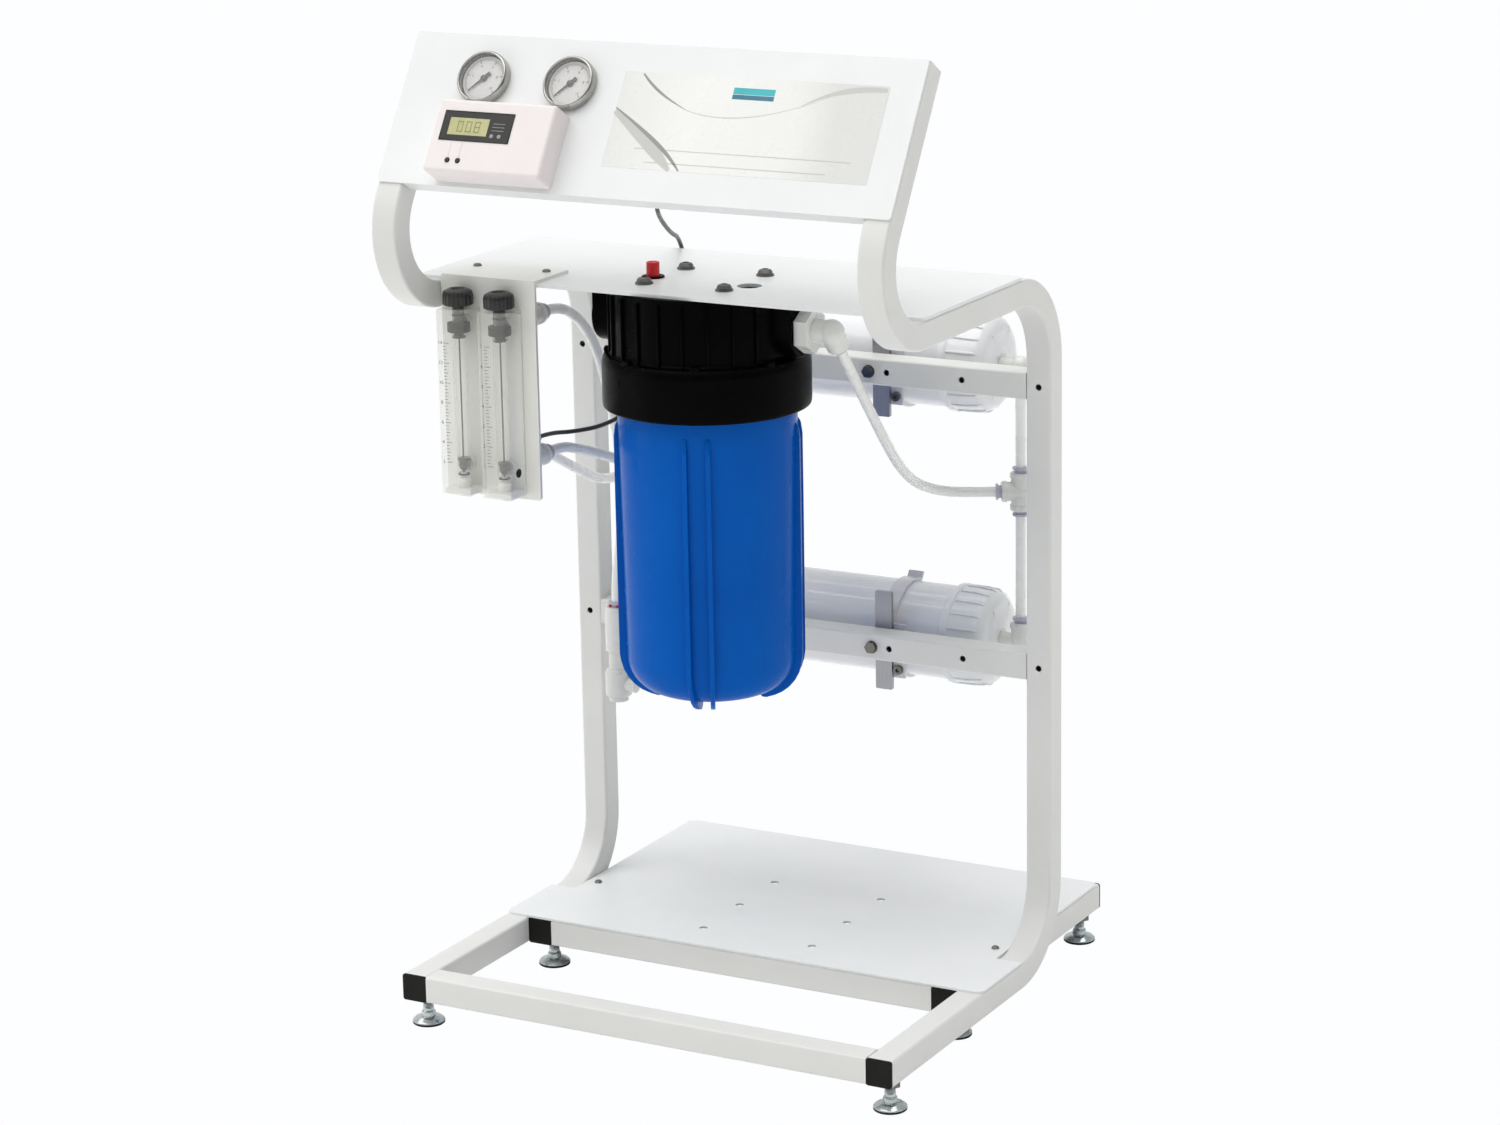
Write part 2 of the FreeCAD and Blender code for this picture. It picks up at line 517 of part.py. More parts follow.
def fitting(c, dirs, plain=(), ball=9.4):
    """moulded body with push-fit arms along dirs, and plain stems (dir, length, r)"""
    c = V(*c)
    s = [Part.makeSphere(ball, c)]
    for d in dirs:
        u = unit(d)
        s.append(Part.makeCylinder(BODY_R, ARM, c, u))
        s.append(Part.makeCylinder(BODY_R + 1.0, 4.0, c + u * (ARM - 5.0), u))
    for d, L, r in plain:
        s.append(Part.makeCylinder(r, L, c, unit(d)))
    b = fuse(s)
    for d in dirs:
        b = cut(b, Part.makeCylinder(3.3, ARM + 2, c, unit(d)))
    for d, L, r in plain:
        b = cut(b, Part.makeCylinder(3.3, L + 2, c, unit(d)))
    return b


def add_collet(c, d, open_port=False):
    collets.append(collet(V(*c) + unit(d) * ARM, d, open_port))


# filter outlet: hexagon nipple and elbow, turned so that the tube leaves down and to the rear
OUT_X = 124.0
OUT_TILT = math.radians(40.0)
OUT_DIR = V(0, math.sin(OUT_TILT), -math.cos(OUT_TILT))
elb = fuse([cyl(10.8, (84.0, FY, PORT_Z), (1, 0, 0), 13.0), hexagon(36.0, (96.0, FY, PORT_Z), (1, 0, 0), 12.0),
            cyl(10.5, (107.0, FY, PORT_Z), (1, 0, 0), OUT_X - 107.0), Part.makeSphere(11.5, V(OUT_X, FY, PORT_Z)),
            cyl(10.5, (OUT_X, FY, PORT_Z), OUT_DIR, 18.0)])
elb = cut(elb, cyl(5.0, (83.0, FY, PORT_Z), (1, 0, 0), OUT_X - 83.0), cyl(3.3, (OUT_X, FY, PORT_Z), OUT_DIR, 20))
put("outlet_elbow", elb)
out_c = V(OUT_X, FY, PORT_Z)
collets.append(collet(out_c + OUT_DIR * 18.0, OUT_DIR, L=4.0))
hs, hl = out_c + OUT_DIR * 22.0, out_c + OUT_DIR * 52.0
HOSE_START, HOSE_LEAD = (hs.x, hs.y, hs.z), (hl.x, hl.y, hl.z)

# feed tee and risers, right
TEE_Z = 460.0
TEE_DIR = (-math.cos(math.radians(30)), -math.sin(math.radians(30)), 0.0)
tee = fitting((LINK_R, MEM_Y, TEE_Z), [(0, 0, 1), (0, 0, -1), TEE_DIR])
for d in ((0, 0, 1), (0, 0, -1), TEE_DIR):
    add_collet((LINK_R, MEM_Y, TEE_Z), d)
elbows = []
for z, up in ((Z_R1, -1), (Z_R2, 1)):
    c = (LINK_R, MEM_Y, z)
    elbows.append(fitting(c, [(0, 0, up)], [((-1, 0, 0), LINK_R - MEM_X1 + 7.0, 6.5)]))
    add_collet(c, (0, 0, up))
    for y in (MEM_Y, CONC_Y):
        c = (LINK_L, y, z)
        elbows.append(fitting(c, [(0, 0, up)], [((1, 0, 0), MEM_X0 - LINK_L + 7.0, 6.5)]))
        add_collet(c, (0, 0, up))
put("membrane_elbows", *elbows)
P_TEE_Z, C_TEE_Z = 447.0, 400.0
ptee = fitting((LINK_L, MEM_Y, P_TEE_Z), [(0, 0, 1), (0, 0, -1), (0, -1, 0)])
ctee = fitting((LINK_L, CONC_Y, C_TEE_Z), [(0, 0, 1), (0, 0, -1), (1, 0, 0)])
for c, dd in (((LINK_L, MEM_Y, P_TEE_Z), ((0, 0, 1), (0, 0, -1), (0, -1, 0))), ((LINK_L, CONC_Y, C_TEE_Z), ((0, 0, 1), (0, 0, -1), (1, 0, 0)))):
    for d in dd:
        add_collet(c, d)
put("tube_tees", tee, ptee, ctee)
E_IN = ARM + COL_L
links = []
for x, y, zt_ in ((LINK_R, MEM_Y, TEE_Z), (LINK_L, MEM_Y, P_TEE_Z), (LINK_L, CONC_Y, C_TEE_Z)):
    for za, zb_ in ((zt_ + E_IN, Z_R1 - E_IN), (Z_R2 + E_IN, zt_ - E_IN)):
        links.append(cyl(TUBE_D / 2, (x, y, za), (0, 0, 1), zb_ - za))
put("link_tubes", *links)

# drain valve hung on the front of the lower rail, left
DX, DY = -190.0, 301.0
dz1 = 338.0
prof = [(0, 240.0), (9.4, 240.0), (9.4, 244.0), (12.6, 246.0), (12.6, 268.0), (11.0, 271.0), (8.6, 272.5), (8.6, 288.0), (11.4, 290.0), (11.4, 329.0), (10.0, 333.0), (0, 333.0)]
dv = revolve(prof, DX, DY)
dv = fuse([dv, box(DX - 6, DX + 6, DY + 8, Y_UP - T / 2, 308.0, 324.0), box(DX - 10, DX + 10, Y_UP - T / 2 - 3, Y_UP - T / 2, 305.5, 326.5),
           cyl(7.5, (DX + 6, DY, 257.0), (1, 0, 0), 14.0),
           cyl(BODY_R, (DX, DY, 254.0), (0, 1, 0), 24.0), cyl(BODY_R + 1.0, (DX, DY + 19.0, 254.0), (0, 1, 0), 4.0)])
dv = cut(dv, cyl(3.3, (DX, DY, 252), (0, 0, 1), 90), cyl(3.3, (DX, DY, 254), (0, 1, 0), 30), cyl(PUSH_R, (DX, DY + 10.0, 254), (0, 1, 0), 17))
put("drain_valve", dv)
collets.append(collet((DX, DY, 333.0), (0, 0, 1)))
collets.append(collet((DX, DY + 24.0, 254.0), (0, 1, 0), True))
# red locking clips on the drain line
for c_, d_ in (((DX, DY, 333.0), (0, 0, 1)), ((DX, DY + 24.0, 254.0), (0, 1, 0))):
    u = unit(d_)
    r_ = Part.makeCylinder(7.8, 2.4, V(*c_) + u * 0.3, u)
    r_ = cut(r_, Part.makeCylinder(6.05, 4, V(*c_) - u * 0.2, u),
             box(c_[0] - 3.5, c_[0] + 3.5, c_[1] - (12 if d_[2] else 1), c_[1] + (0 if d_[2] else 6), c_[2] - (6 if d_[2] else 0), c_[2] + (6 if d_[2] else 12)))
    clips.append(r_)
put("locking_clips", *clips)

# ------------------------------------------------------------------ membranes
shells, caps, elements, bars, cclips, rbolts, cscrews = [], [], [], [], [], [], []
for z in (Z_R1, Z_R2):
    sh = revolve_x([(-188.0, SHELL_R - 3.5), (153.0, SHELL_R - 3.5), (153.0, SHELL_R), (-188.0, SHELL_R)], MEM_Y, z)
    shells.append(sh)
    # wound element: core tube, end discs and outer wrap, hollow between
    el = revolve_x([(-178.0, 8.0), (143.0, 8.0), (143.0, 40.0), (-178.0, 40.0)], MEM_Y, z)
    el = cut(el, revolve_x([(-173.0, 11.0), (138.0, 11.0), (138.0, 37.0), (-173.0, 37.0)], MEM_Y, z))
    elements.append(el)
    for sx, xe in ((1, MEM_X1), (-1, MEM_X0)):
        def q(d, r):
            return (xe - sx * d, r)
        pr = [q(45.0, SHELL_R + 0.02), q(45.0, CAP_R - 0.8), q(44.2, CAP_R), q(38.0, CAP_R), q(37.0, CAP_R - 1.3), q(9.0, CAP_R - 1.3),
              q(4.0, CAP_R - 4.0), q(1.4, CAP_R - 9.0), q(0.3, CAP_R - 17.0), q(0.0, 15.0), q(0.0, 0.0), q(9.0, 0.0), q(9.0, SHELL_R - 9), q(11.5, SHELL_R + 0.02)]
        cp = revolve_x(pr, MEM_Y, z)
        ribs = []
        for k in range(20):
            a = 18.0 * k
            rb = box(0, 29.0, -1.6, 1.6, CAP_R - 2.4, CAP_R)
            rb.translate(V((xe - 37.5) if sx > 0 else (xe + 8.5), 0, 0))
            rb.rotate(V(0, 0, 0), X_DIR, a)
            rb.translate(V(0, MEM_Y, z))
            ribs.append(rb)
        boss = [cyl(9.5, (xe - sx * 9.0 if sx > 0 else xe + 0.0, MEM_Y, z), (1, 0, 0), 9.0)]
        cp = fuse([cp] + ribs)
        ports = [MEM_Y] if sx > 0 else [MEM_Y, CONC_Y]
        for y in ports:
            cp = cut(cp, cyl(6.55, (xe - sx * 10.0 if sx > 0 else xe - 1.0, y, z), (1, 0, 0), 11.0))
        caps.append(cp)
    for x in BRACKET_X:
        yb = Y_UP + T / 2
        b = rbox(x - 8.5, x + 8.5, yb, yb + 4.0, z - 47.5, z + 47.5, 1.2, "y")
        bars.append(cut(b, cyl(3.1, (x, yb - 1, z), (0, 1, 0), 6)))
        # C-clip: open towards the back and top, flared lips
        ro, ri = SHELL_R + 3.0, SHELL_R + 0.02
        cl = revolve_x([(x - 7.5, ri), (x + 7.5, ri), (x + 7.5, ro), (x - 7.5, ro)], MEM_Y, z)
        wedge = Part.Face(Part.makePolygon([V(x - 20, MEM_Y, z), V(x - 20, MEM_Y + 90 * math.cos(math.radians(8)), z + 90 * math.sin(math.radians(8))),
                                            V(x - 20, MEM_Y + 90 * math.cos(math.radians(40)), z + 90 * math.sin(math.radians(40))),
                                            V(x - 20, MEM_Y + 90 * math.cos(math.radians(72)), z + 90 * math.sin(math.radians(72))), V(x - 20, MEM_Y, z)])).extrude(V(40, 0, 0))
        cl = cut(cl, wedge)
        lips = []
        for ang, rot in ((8.0, -35.0), (72.0, 35.0)):
            ca, sa = math.cos(math.radians(ang)), math.sin(math.radians(ang))
            lp = box(x - 7.5, x + 7.5, -0.2, 7.5, -1.5, 1.5)
            lp.rotate(V(x, 0, 0), X_DIR, ang + (20.0 if ang < 40 else -20.0))
            lp.translate(V(0, MEM_Y + (ri + 1.6) * ca, z + (ri + 1.6) * sa))
            lips.append(lp)
        base = box(x - 8.5, x + 20.0, yb + 4.0, yb + 7.4, z - 36.0, z + 16.0)
        web = box(x - 7.5, x + 7.5, yb + 5.0, yb + 13.0, z - 30.0, z + 16.0)
        core = cyl(ri, (x - 30, MEM_Y, z), (1, 0, 0), 80)
        cl = fuse([cl, cut(fuse([base, web]), core)] + [cut(l_, core) for l_ in lips])
        cl = cut(cl, cyl(3.1, (x, yb, z), (0, 1, 0), 6.6), cyl(2.6, (x + 14.0, yb, z - 28.0), (0, 1, 0), 12))
        cclips.append(cl)
        hb = hexagon(10.0, (x, Y_UP - T / 2 - 4.2, z), (0, 1, 0), 4.2)
        rbolts.append(fuse([hb, cyl(6.0, (x, Y_UP - T / 2 - 0.9, z), (0, 1, 0), 0.9), cyl(3.0, (x, Y_UP - T / 2 - 1, z), (0, 1, 0), T + 7.0)]))
        sc = fuse([cyl(4.4, (x + 14.0, yb + 0.2, z - 28.0), (0, 1, 0), 3.8), cyl(2.5, (x + 14.0, yb + 3.9, z - 28.0), (0, 1, 0), 6.0)])
        cscrews.append(cut(sc, hexagon(4.0, (x + 14.0, yb - 0.2, z - 28.0), (0, 1, 0), 2.6)))
put("membrane_shells", *shells)
put("membrane_caps", *caps)
put("membrane_elements", *elements)
put("bracket_bars", *bars)
put("membrane_clips", *cclips)

# ------------------------------------------------------------------ flow meters
MP_X0, MP_X1 = -224.0, -127.0
MX = (-198.0, -155.5)
MZ0, MZ1 = 500.0, 668.0
M_UP, M_LO = 654.0, 525.0
FLOAT_Y = 54.0
vert = rbox(MP_X0, MP_X1, 68.0, 71.0, 496.0, 694.0, 3.0, "y")
top = box(MP_X0 + 0.5, MP_X1 - 0.5, 69.0, 131.0, 691.0, 694.0)
top = top.makeFillet(5.0, [e for e in top.Edges if abs(e.Length - 3.0) < 1e-6 and e.Vertexes[0].Point.y > 130])
mb = fuse([vert, top])
for x in MX:
    for z in (M_UP, M_LO):
        mb = cut(mb, cyl(6.6, (x, 66, z), (0, 1, 0), 8))
for x, y in MB_SCREWS:
    mb = cut(mb, cyl(2.1, (x, y, 690), (0, 0, 1), 6))
    hd = revolve([(0, 694.0), (3.8, 694.0), (3.8, 694.9), (2.7, 696.1), (0, 696.3)], x, y)
    screws.append(fuse([hd, cyl(2.0, (x, y, Z_SHELF - 3), (0, 0, 1), 9.4)]))
put("meter_bracket", mb)
put("screws_and_bolts", *(screws + cscrews + rbolts))
bodies, fits = [], []
for i, x in enumerate(MX):
    b = box(x - 15, x + 15, 40.0, 68.0, MZ0, MZ1)
    b = b.makeFillet(1.5, [e for e in b.Edges if e.BoundBox.YMax < 41 or abs(e.Length - 28.0) < 1e-3])
    b = cut(b, Part.makeCone(6.0, 7.2, 124.0, V(x, FLOAT_Y, 520.0), Z_DIR), cyl(3.0, (x, FLOAT_Y, 514.0), (0, 0, 1), 7),
            cyl(4.0, (x, FLOAT_Y, 643.0), (0, 0, 1), 8), cyl(5.6, (x, FLOAT_Y, 650.0), (0, 0, 1), 20),
            cyl(4.0, (x, FLOAT_Y, M_LO - 8), (0, 1, 0), 16), cyl(4.0, (x, FLOAT_Y, M_UP - 6), (0, 1, 0), 16))
    bodies.append(b)
    fl = revolve([(0, 520.4), (2.2, 520.4), (4.6, 524.0), (4.6, 529.0), (5.4, 530.0), (5.4, 532.0), (0, 532.0)], x, FLOAT_Y)
    put("meter_float_" + ("left", "right")[i], fl)
    kp = []
    knob = revolve([(0, 670.0), (12.6, 670.0), (13.2, 670.8), (13.2, 682.6), (12.0, 684.4), (9.0, 685.2), (0, 685.4)], x, FLOAT_Y)
    kp.append(knob)
    for k in range(16):
        rb = box(12.6, 13.8, -1.1, 1.1, 671.2, 682.4)
        rb.rotate(V(0, 0, 0), Z_DIR, 22.5 * k)
        rb.translate(V(x, FLOAT_Y, 0))
        kp.append(rb)
    kp.append(cyl(5.3, (x, FLOAT_Y, 652.5), (0, 0, 1), 18.0))
    put("meter_knob_" + ("left", "right")[i], fuse(kp))
    for z in (M_UP, M_LO):
        s = [cyl(6.5, (x, 60.0, z), (0, 1, 0), 15.0), hexagon(17.0, (x, 71.0, z), (0, 1, 0), 8.0), cyl(BODY_R, (x, 78.0, z), (0, 1, 0), 44.0),
             cyl(BODY_R + 1.0, (x, 116.0, z), (0, 1, 0), 4.0)]
        is_out = (i == 0 and z == M_UP)
        f = cut(fuse(s), cyl(3.3, (x, 59, z), (0, 1, 0), 66))
        if is_out:
            f = cut(f, cyl(PUSH_R, (x, 110, z), (0, 1, 0), 14))
        fits.append(f)
        collets.append(collet((x, 122.0, z), (0, 1, 0), is_out, L=6.0))
b0 = cut(bodies[0], cyl(6.55, (MX[0], 59.9, M_UP), (0, 1, 0), 9), cyl(6.55, (MX[0], 59.9, M_LO), (0, 1, 0), 9))
b1 = cut(bodies[1], cyl(6.55, (MX[1], 59.9, M_UP), (0, 1, 0), 9), cyl(6.55, (MX[1], 59.9, M_LO), (0, 1, 0), 9))
put("meter_bodies", b0, b1)
put("meter_fittings", *fits)
put("fitting_collets", *collets)

# sensor probe in the lower right meter fitting, and the gland behind the console
probe = fuse([cyl(4.6, (MX[1], 102.0, M_LO + BODY_R - 0.6), (0, 0, 1), 15.0), Part.makeSphere(4.6, V(MX[1], 102.0, M_LO + BODY_R + 14.4)),
              cyl(3.6, (MX[1], 102.0, M_LO + 17.0), (0, 1, 0), 11.0)])
f_probe = cyl(4.65, (MX[1], 102.0, M_LO + BODY_R - 1.0), (0, 0, 1), 4)
nodes["meter_fittings"] = [cut(f, f_probe) if abs(f.BoundBox.Center.x - MX[1]) < 3 and f.BoundBox.Center.z < 560 else f for f in fits]
gl = fuse([Part.makeCylinder(3.9, 4.0, V(GLAND[0], GLAND[1], -3.9)), Part.makeCylinder(6.0, 3.0, V(GLAND[0], GLAND[1], -5.0)), Part.makeCylinder(4.2, 9.0, V(GLAND[0], GLAND[1], -14.0))])
put("sensor_cable_ends", probe, local(gl))
GL_END = P0 + E * GLAND[1] - F * 14.0

# ------------------------------------------------------------------ hoses and the sensor cable


def route(name, pts, d, wanted=5.0):
    """tube along straight runs joined by tangent arcs; prints run lengths and arc radii"""
    P = [V(*p) for p in pts]
    n = len(P)
    runs = [(P[i + 1] - P[i]).Length for i in range(n - 1)]
    edges = []
    cur = P[0]
    length = 0.0
    worst = 1e9
    rows = []
    for i in range(1, n - 1):
        a = P[i] - P[i - 1]
        b = P[i + 1] - P[i]
        a.normalize()
        b.normalize()
        turn = math.acos(max(-1.0, min(1.0, a.dot(b))))
        t = 0.45 * min(runs[i - 1], runs[i])
        rad = t / math.tan(turn / 2.0)
        worst = min(worst, rad)
        rows.append("%.0f/%.0f" % (math.degrees(turn), rad))
        p1 = P[i] - a * t
        p2 = P[i] + b * t
        mid_dir = (b - a)
        mid_dir.normalize()
        cen = P[i] + mid_dir * (rad / math.cos(turn / 2.0))
        m = cen - mid_dir * rad
        edges.append(Part.LineSegment(cur, p1).toShape())
        edges.append(Part.Arc(p1, m, p2).toShape())
        cur = p2
    edges.append(Part.LineSegment(cur, P[-1]).toShape())
    path = Part.Wire(edges)
    u = P[1] - P[0]
    u.normalize()
    prof_ = Part.Wire([Part.Circle(P[0], u, d / 2.0).toShape()])
    s = path.makePipeShell([prof_], True, False)
    s = s if s.ShapeType == "Solid" else Part.Solid(s)
    if s.Volume < 0:
        s.reverse()
    expect = math.pi * d * d / 4.0 * path.Length
    print("%s length %.1f volume ratio %.4f valid %s min radius %.1f (want %.0f)" % (name, path.Length, s.Volume / expect, s.isValid(), worst, wanted * d))
    print("   turns/radii", " ".join(rows))
    print("   runs", " ".join("%.0f" % r for r in runs))
    put(name, s)
    return s


end = V(LINK_R, MEM_Y, TEE_Z) + unit(TEE_DIR) * (ARM + COL_L)
lead = end + unit(TEE_DIR) * 24.0
FEED = [HOSE_START, HOSE_LEAD, (124.0, 207.0, 585.0), (121.0, 251.0, 539.0), (115.5, 292.0, 503.5), (112.0, 334.0, 476.5), (122.5, 364.0, 463.5), (lead.x, lead.y, lead.z), (end.x, end.y, end.z)]
route("feed_hose", FEED, TUBE_D)
DRAIN = [(MX[1], 128.0, M_UP), (MX[1], 154.0, M_UP), (-155.0, 184.0, 640.0), (-155.0, 210.0, 616.0), (-156.0, 229.0, 585.0), (-161.0, 252.0, 545.0), (-169.0, 279.0, 492.0), (-177.0, 297.0, 440.0), (-186.0, 303.0, 390.0), (-190.0, 301.0, 360.0), (DX, DY, dz1)]
route("drain_hose", DRAIN, TUBE_D)
PERM = [(LINK_L, MEM_Y - E_IN, P_TEE_Z), (LINK_L, 352.0, P_TEE_Z), (-209.0, 306.0, 454.0), (-204.0, 258.0, 476.0), (-199.5, 214.0, 497.0), (-198.0, 174.0, 517.0), (MX[0], 150.0, M_LO), (MX[0], 128.0, M_LO)]
route("permeate_hose", PERM, TUBE_D)
CONC = [(LINK_L + E_IN, CONC_Y, C_TEE_Z), (-163.0, CONC_Y, C_TEE_Z), (-127.0, 421.5, 404.0), (-106.0, 389.0, 412.0), (-109.0, 340.0, 432.0), (-126.0, 290.0, 464.0), (-142.0, 244.0, 492.0), (-151.0, 208.0, 507.0), (-154.8, 178.0, 517.5), (MX[1], 152.0, M_LO), (MX[1], 128.0, M_LO)]
route("concentrate_hose", CONC, TUBE_D)
g0 = GL_END
CABLE = [(g0.x, g0.y, g0.z), (-2.0, g0.y + 14.0, g0.z - 10.0), (-10.0, g0.y + 38.0, g0.z - 22.0), (-24.0, 106.0, 763.0), (-44.0, 146.0, 744.0), (-62.0, 190.0, 726.0), (-80.0, 232.0, 712.0), (-96.0, 270.0, 702.0), (-106.0, 298.0, 680.0), (-110.0, 304.0, 642.0), (-113.0, 298.0, 604.0),
         (-118.0, 276.0, 570.0), (-126.0, 240.0, 547.0), (-137.0, 200.0, 536.0), (-149.0, 162.0, 537.0), (-155.0, 134.0, 541.5), (MX[1], 113.0, M_LO + 17.0)]
route("sensor_cable", CABLE, CABLE_D)

# ------------------------------------------------------------------ write
total = None
for name in sorted(nodes):
    shp = nodes[name]
    solids = []
    for s in shp:
        solids += s.Solids
    for s in solids:
        if not s.isValid():
            print("INVALID", name)
        if s.Volume <= 0:
            print("NEGATIVE", name)
    c = Part.makeCompound(solids) if len(solids) > 1 else solids[0]
    c.translate(V(0, -YC, 0))
    c.exportStep("parts/%s.step" % name)
    bb = c.BoundBox
    if total is None:
        total = FreeCAD.BoundBox(bb)
    else:
        total.add(bb)
    print("%-24s %2d solids vol %10.1f  x %.1f..%.1f y %.1f..%.1f z %.1f..%.1f" % (name, len(solids), sum(s.Volume for s in solids), bb.XMin, bb.XMax, bb.YMin, bb.YMax, bb.ZMin, bb.ZMax))
print(len(nodes), "nodes; box", total)
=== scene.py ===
import bpy
import bmesh
import json
import math
import random
from mathutils import Vector, Matrix


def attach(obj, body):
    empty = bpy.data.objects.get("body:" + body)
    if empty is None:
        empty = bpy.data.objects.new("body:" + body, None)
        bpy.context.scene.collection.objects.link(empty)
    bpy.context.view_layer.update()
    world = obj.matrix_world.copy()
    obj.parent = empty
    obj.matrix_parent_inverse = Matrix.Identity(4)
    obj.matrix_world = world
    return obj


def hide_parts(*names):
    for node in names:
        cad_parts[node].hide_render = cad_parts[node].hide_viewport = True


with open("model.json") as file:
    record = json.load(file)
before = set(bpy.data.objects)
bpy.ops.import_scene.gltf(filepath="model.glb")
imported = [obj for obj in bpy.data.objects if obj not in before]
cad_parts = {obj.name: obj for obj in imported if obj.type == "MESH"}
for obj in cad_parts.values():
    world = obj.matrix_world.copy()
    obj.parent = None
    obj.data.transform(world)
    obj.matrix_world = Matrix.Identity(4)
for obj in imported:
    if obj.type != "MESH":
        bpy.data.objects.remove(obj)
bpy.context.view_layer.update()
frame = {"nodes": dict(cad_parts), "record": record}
NODES = frame["nodes"]
random.seed(7)

# ------------------------------------------------------------------ coordinates
# Millimetre sizes below count Y from the front face of the floor tubes, as the
# part does; P() turns them into metres in the row frame.
YC = 247.5


def P(x, y, z):
    return Vector((x / 1000.0, (y - YC) / 1000.0, z / 1000.0))


LEAN = math.radians(32.0)
E = Vector((0, math.sin(LEAN), math.cos(LEAN)))
F = Vector((0, -math.cos(LEAN), math.sin(LEAN)))
P0 = P(0, 12.0, 784.0)


def L(u, v, w=0.0):
    """a point given on the console panel: u right, v up the panel, w out of it, mm"""
    return P0 + Vector((u / 1000.0, 0, 0)) + E * (v / 1000.0) + F * (w / 1000.0)


PANEL = Matrix(((1, 0, 0, P0.x), (0, E.y, F.y, P0.y), (0, E.z, F.z, P0.z), (0, 0, 0, 1)))


# ------------------------------------------------------------------ node helpers
def nt(name):
    m = bpy.data.materials.new(name)
    m.use_nodes = True
    t = m.node_tree
    b = t.nodes["Principled BSDF"]
    return m, t, b


def sset(b, **kw):
    for k, v in kw.items():
        b.inputs[k.replace("_", " ")].default_value = v


def node(t, kind, **kw):
    n = t.nodes.new(kind)
    for k, v in kw.items():
        if k in n.inputs.keys() if hasattr(n.inputs, "keys") else False:
            n.inputs[k].default_value = v
        else:
            setattr(n, k, v)
    return n


def coords(t, scale=(1, 1, 1)):
    tc = t.nodes.new("ShaderNodeTexCoord")
    mp = t.nodes.new("ShaderNodeMapping")
    mp.inputs["Scale"].default_value = scale
    t.links.new(tc.outputs["Object"], mp.inputs["Vector"])
    return mp.outputs["Vector"]


def noise(t, vec, scale, detail=2.0, rough=0.5, dist=0.0):
    n = t.nodes.new("ShaderNodeTexNoise")
    n.inputs["Scale"].default_value = scale
    n.inputs["Detail"].default_value = detail
    n.inputs["Roughness"].default_value = rough
    n.inputs["Distortion"].default_value = dist
    t.links.new(vec, n.inputs["Vector"])
    return n.outputs["Fac"]


def ramp(t, fac, stops):
    r = t.nodes.new("ShaderNodeValToRGB")
    els = r.color_ramp.elements
    while len(els) > 1:
        els.remove(els[-1])
    els[0].position = stops[0][0]
    els[0].color = tuple(stops[0][1]) + (1,) if len(stops[0][1]) == 3 else stops[0][1]
    for p, c in stops[1:]:
        e = els.new(p)
        e.color = tuple(c) + (1,) if len(c) == 3 else c
    t.links.new(fac, r.inputs["Fac"])
    return r.outputs["Color"]


def maprange(t, fac, lo, hi, a=0.0, b=1.0):
    m = t.nodes.new("ShaderNodeMapRange")
    m.inputs["From Min"].default_value = a
    m.inputs["From Max"].default_value = b
    m.inputs["To Min"].default_value = lo
    m.inputs["To Max"].default_value = hi
    t.links.new(fac, m.inputs["Value"])
    return m.outputs["Result"]


def bump(t, b, height, strength, distance, chain=None):
    n = t.nodes.new("ShaderNodeBump")
    n.inputs["Strength"].default_value = strength
    n.inputs["Distance"].default_value = distance
    t.links.new(height, n.inputs["Height"])
    if chain is not None:
        t.links.new(chain, n.inputs["Normal"])
    t.links.new(n.outputs["Normal"], b.inputs["Normal"])
    return n.outputs["Normal"]


def grey(c):
    return (c, c, c)


# ------------------------------------------------------------------ materials
def powder(name, base, tint, rough=0.42, peel=0.00006):
    m, t, b = nt(name)
    v = coords(t)
    big = noise(t, v, 9.0, 3.0, 0.6)
    col = ramp(t, big, [(0.3, base), (0.7, tint)])
    t.links.new(col, b.inputs["Base Color"])
    r = noise(t, v, 60.0, 4.0, 0.6)
    t.links.new(maprange(t, r, rough - 0.07, rough + 0.07, 0.3, 0.7), b.inputs["Roughness"])
    sset(b, Specular_IOR_Level=0.45, Coat_Weight=0.15, Coat_Roughness=0.25)
    h = noise(t, v, 1400.0, 2.0, 0.5)
    bump(t, b, h, 0.35, peel)
    return m


def plastic(name, base, tint=None, rough=0.35, spec=0.5, grain=900.0, gh=0.00003, gs=0.3, coat=0.0, big=14.0, rvar=0.08):
    m, t, b = nt(name)
    v = coords(t)
    if tint is None:
        tint = tuple(min(1.0, c * 1.06) for c in base)
    f = noise(t, v, big, 3.0, 0.6)
    t.links.new(ramp(t, f, [(0.3, base), (0.72, tint)]), b.inputs["Base Color"])
    r = noise(t, v, 85.0, 5.0, 0.65)
    t.links.new(maprange(t, r, rough - rvar, rough + rvar, 0.3, 0.7), b.inputs["Roughness"])
    sset(b, Specular_IOR_Level=spec, Coat_Weight=coat, Coat_Roughness=0.08)
    h = noise(t, v, grain, 2.0, 0.5)
    bump(t, b, h, gs, gh)
    return m


def milky(name, base, tint, rough=0.3, sss=0.25, alpha=1.0):
    """milky polyethylene or polypropylene: light spreads just under a waxy skin"""
    m, t, b = nt(name)
    v = coords(t)
    f = noise(t, v, 12.0, 2.0, 0.5)
    t.links.new(ramp(t, f, [(0.3, base), (0.7, tint)]), b.inputs["Base Color"])
    r = noise(t, v, 60.0, 2.0, 0.5)
    t.links.new(maprange(t, r, rough - 0.05, rough + 0.06, 0.3, 0.7), b.inputs["Roughness"])
    sset(b, Subsurface_Weight=sss, Subsurface_Scale=0.003, Specular_IOR_Level=0.5, Coat_Weight=0.35, Coat_Roughness=0.1, Alpha=alpha)
    b.inputs["Subsurface Radius"].default_value = (1.0, 0.95, 0.9)
    return m


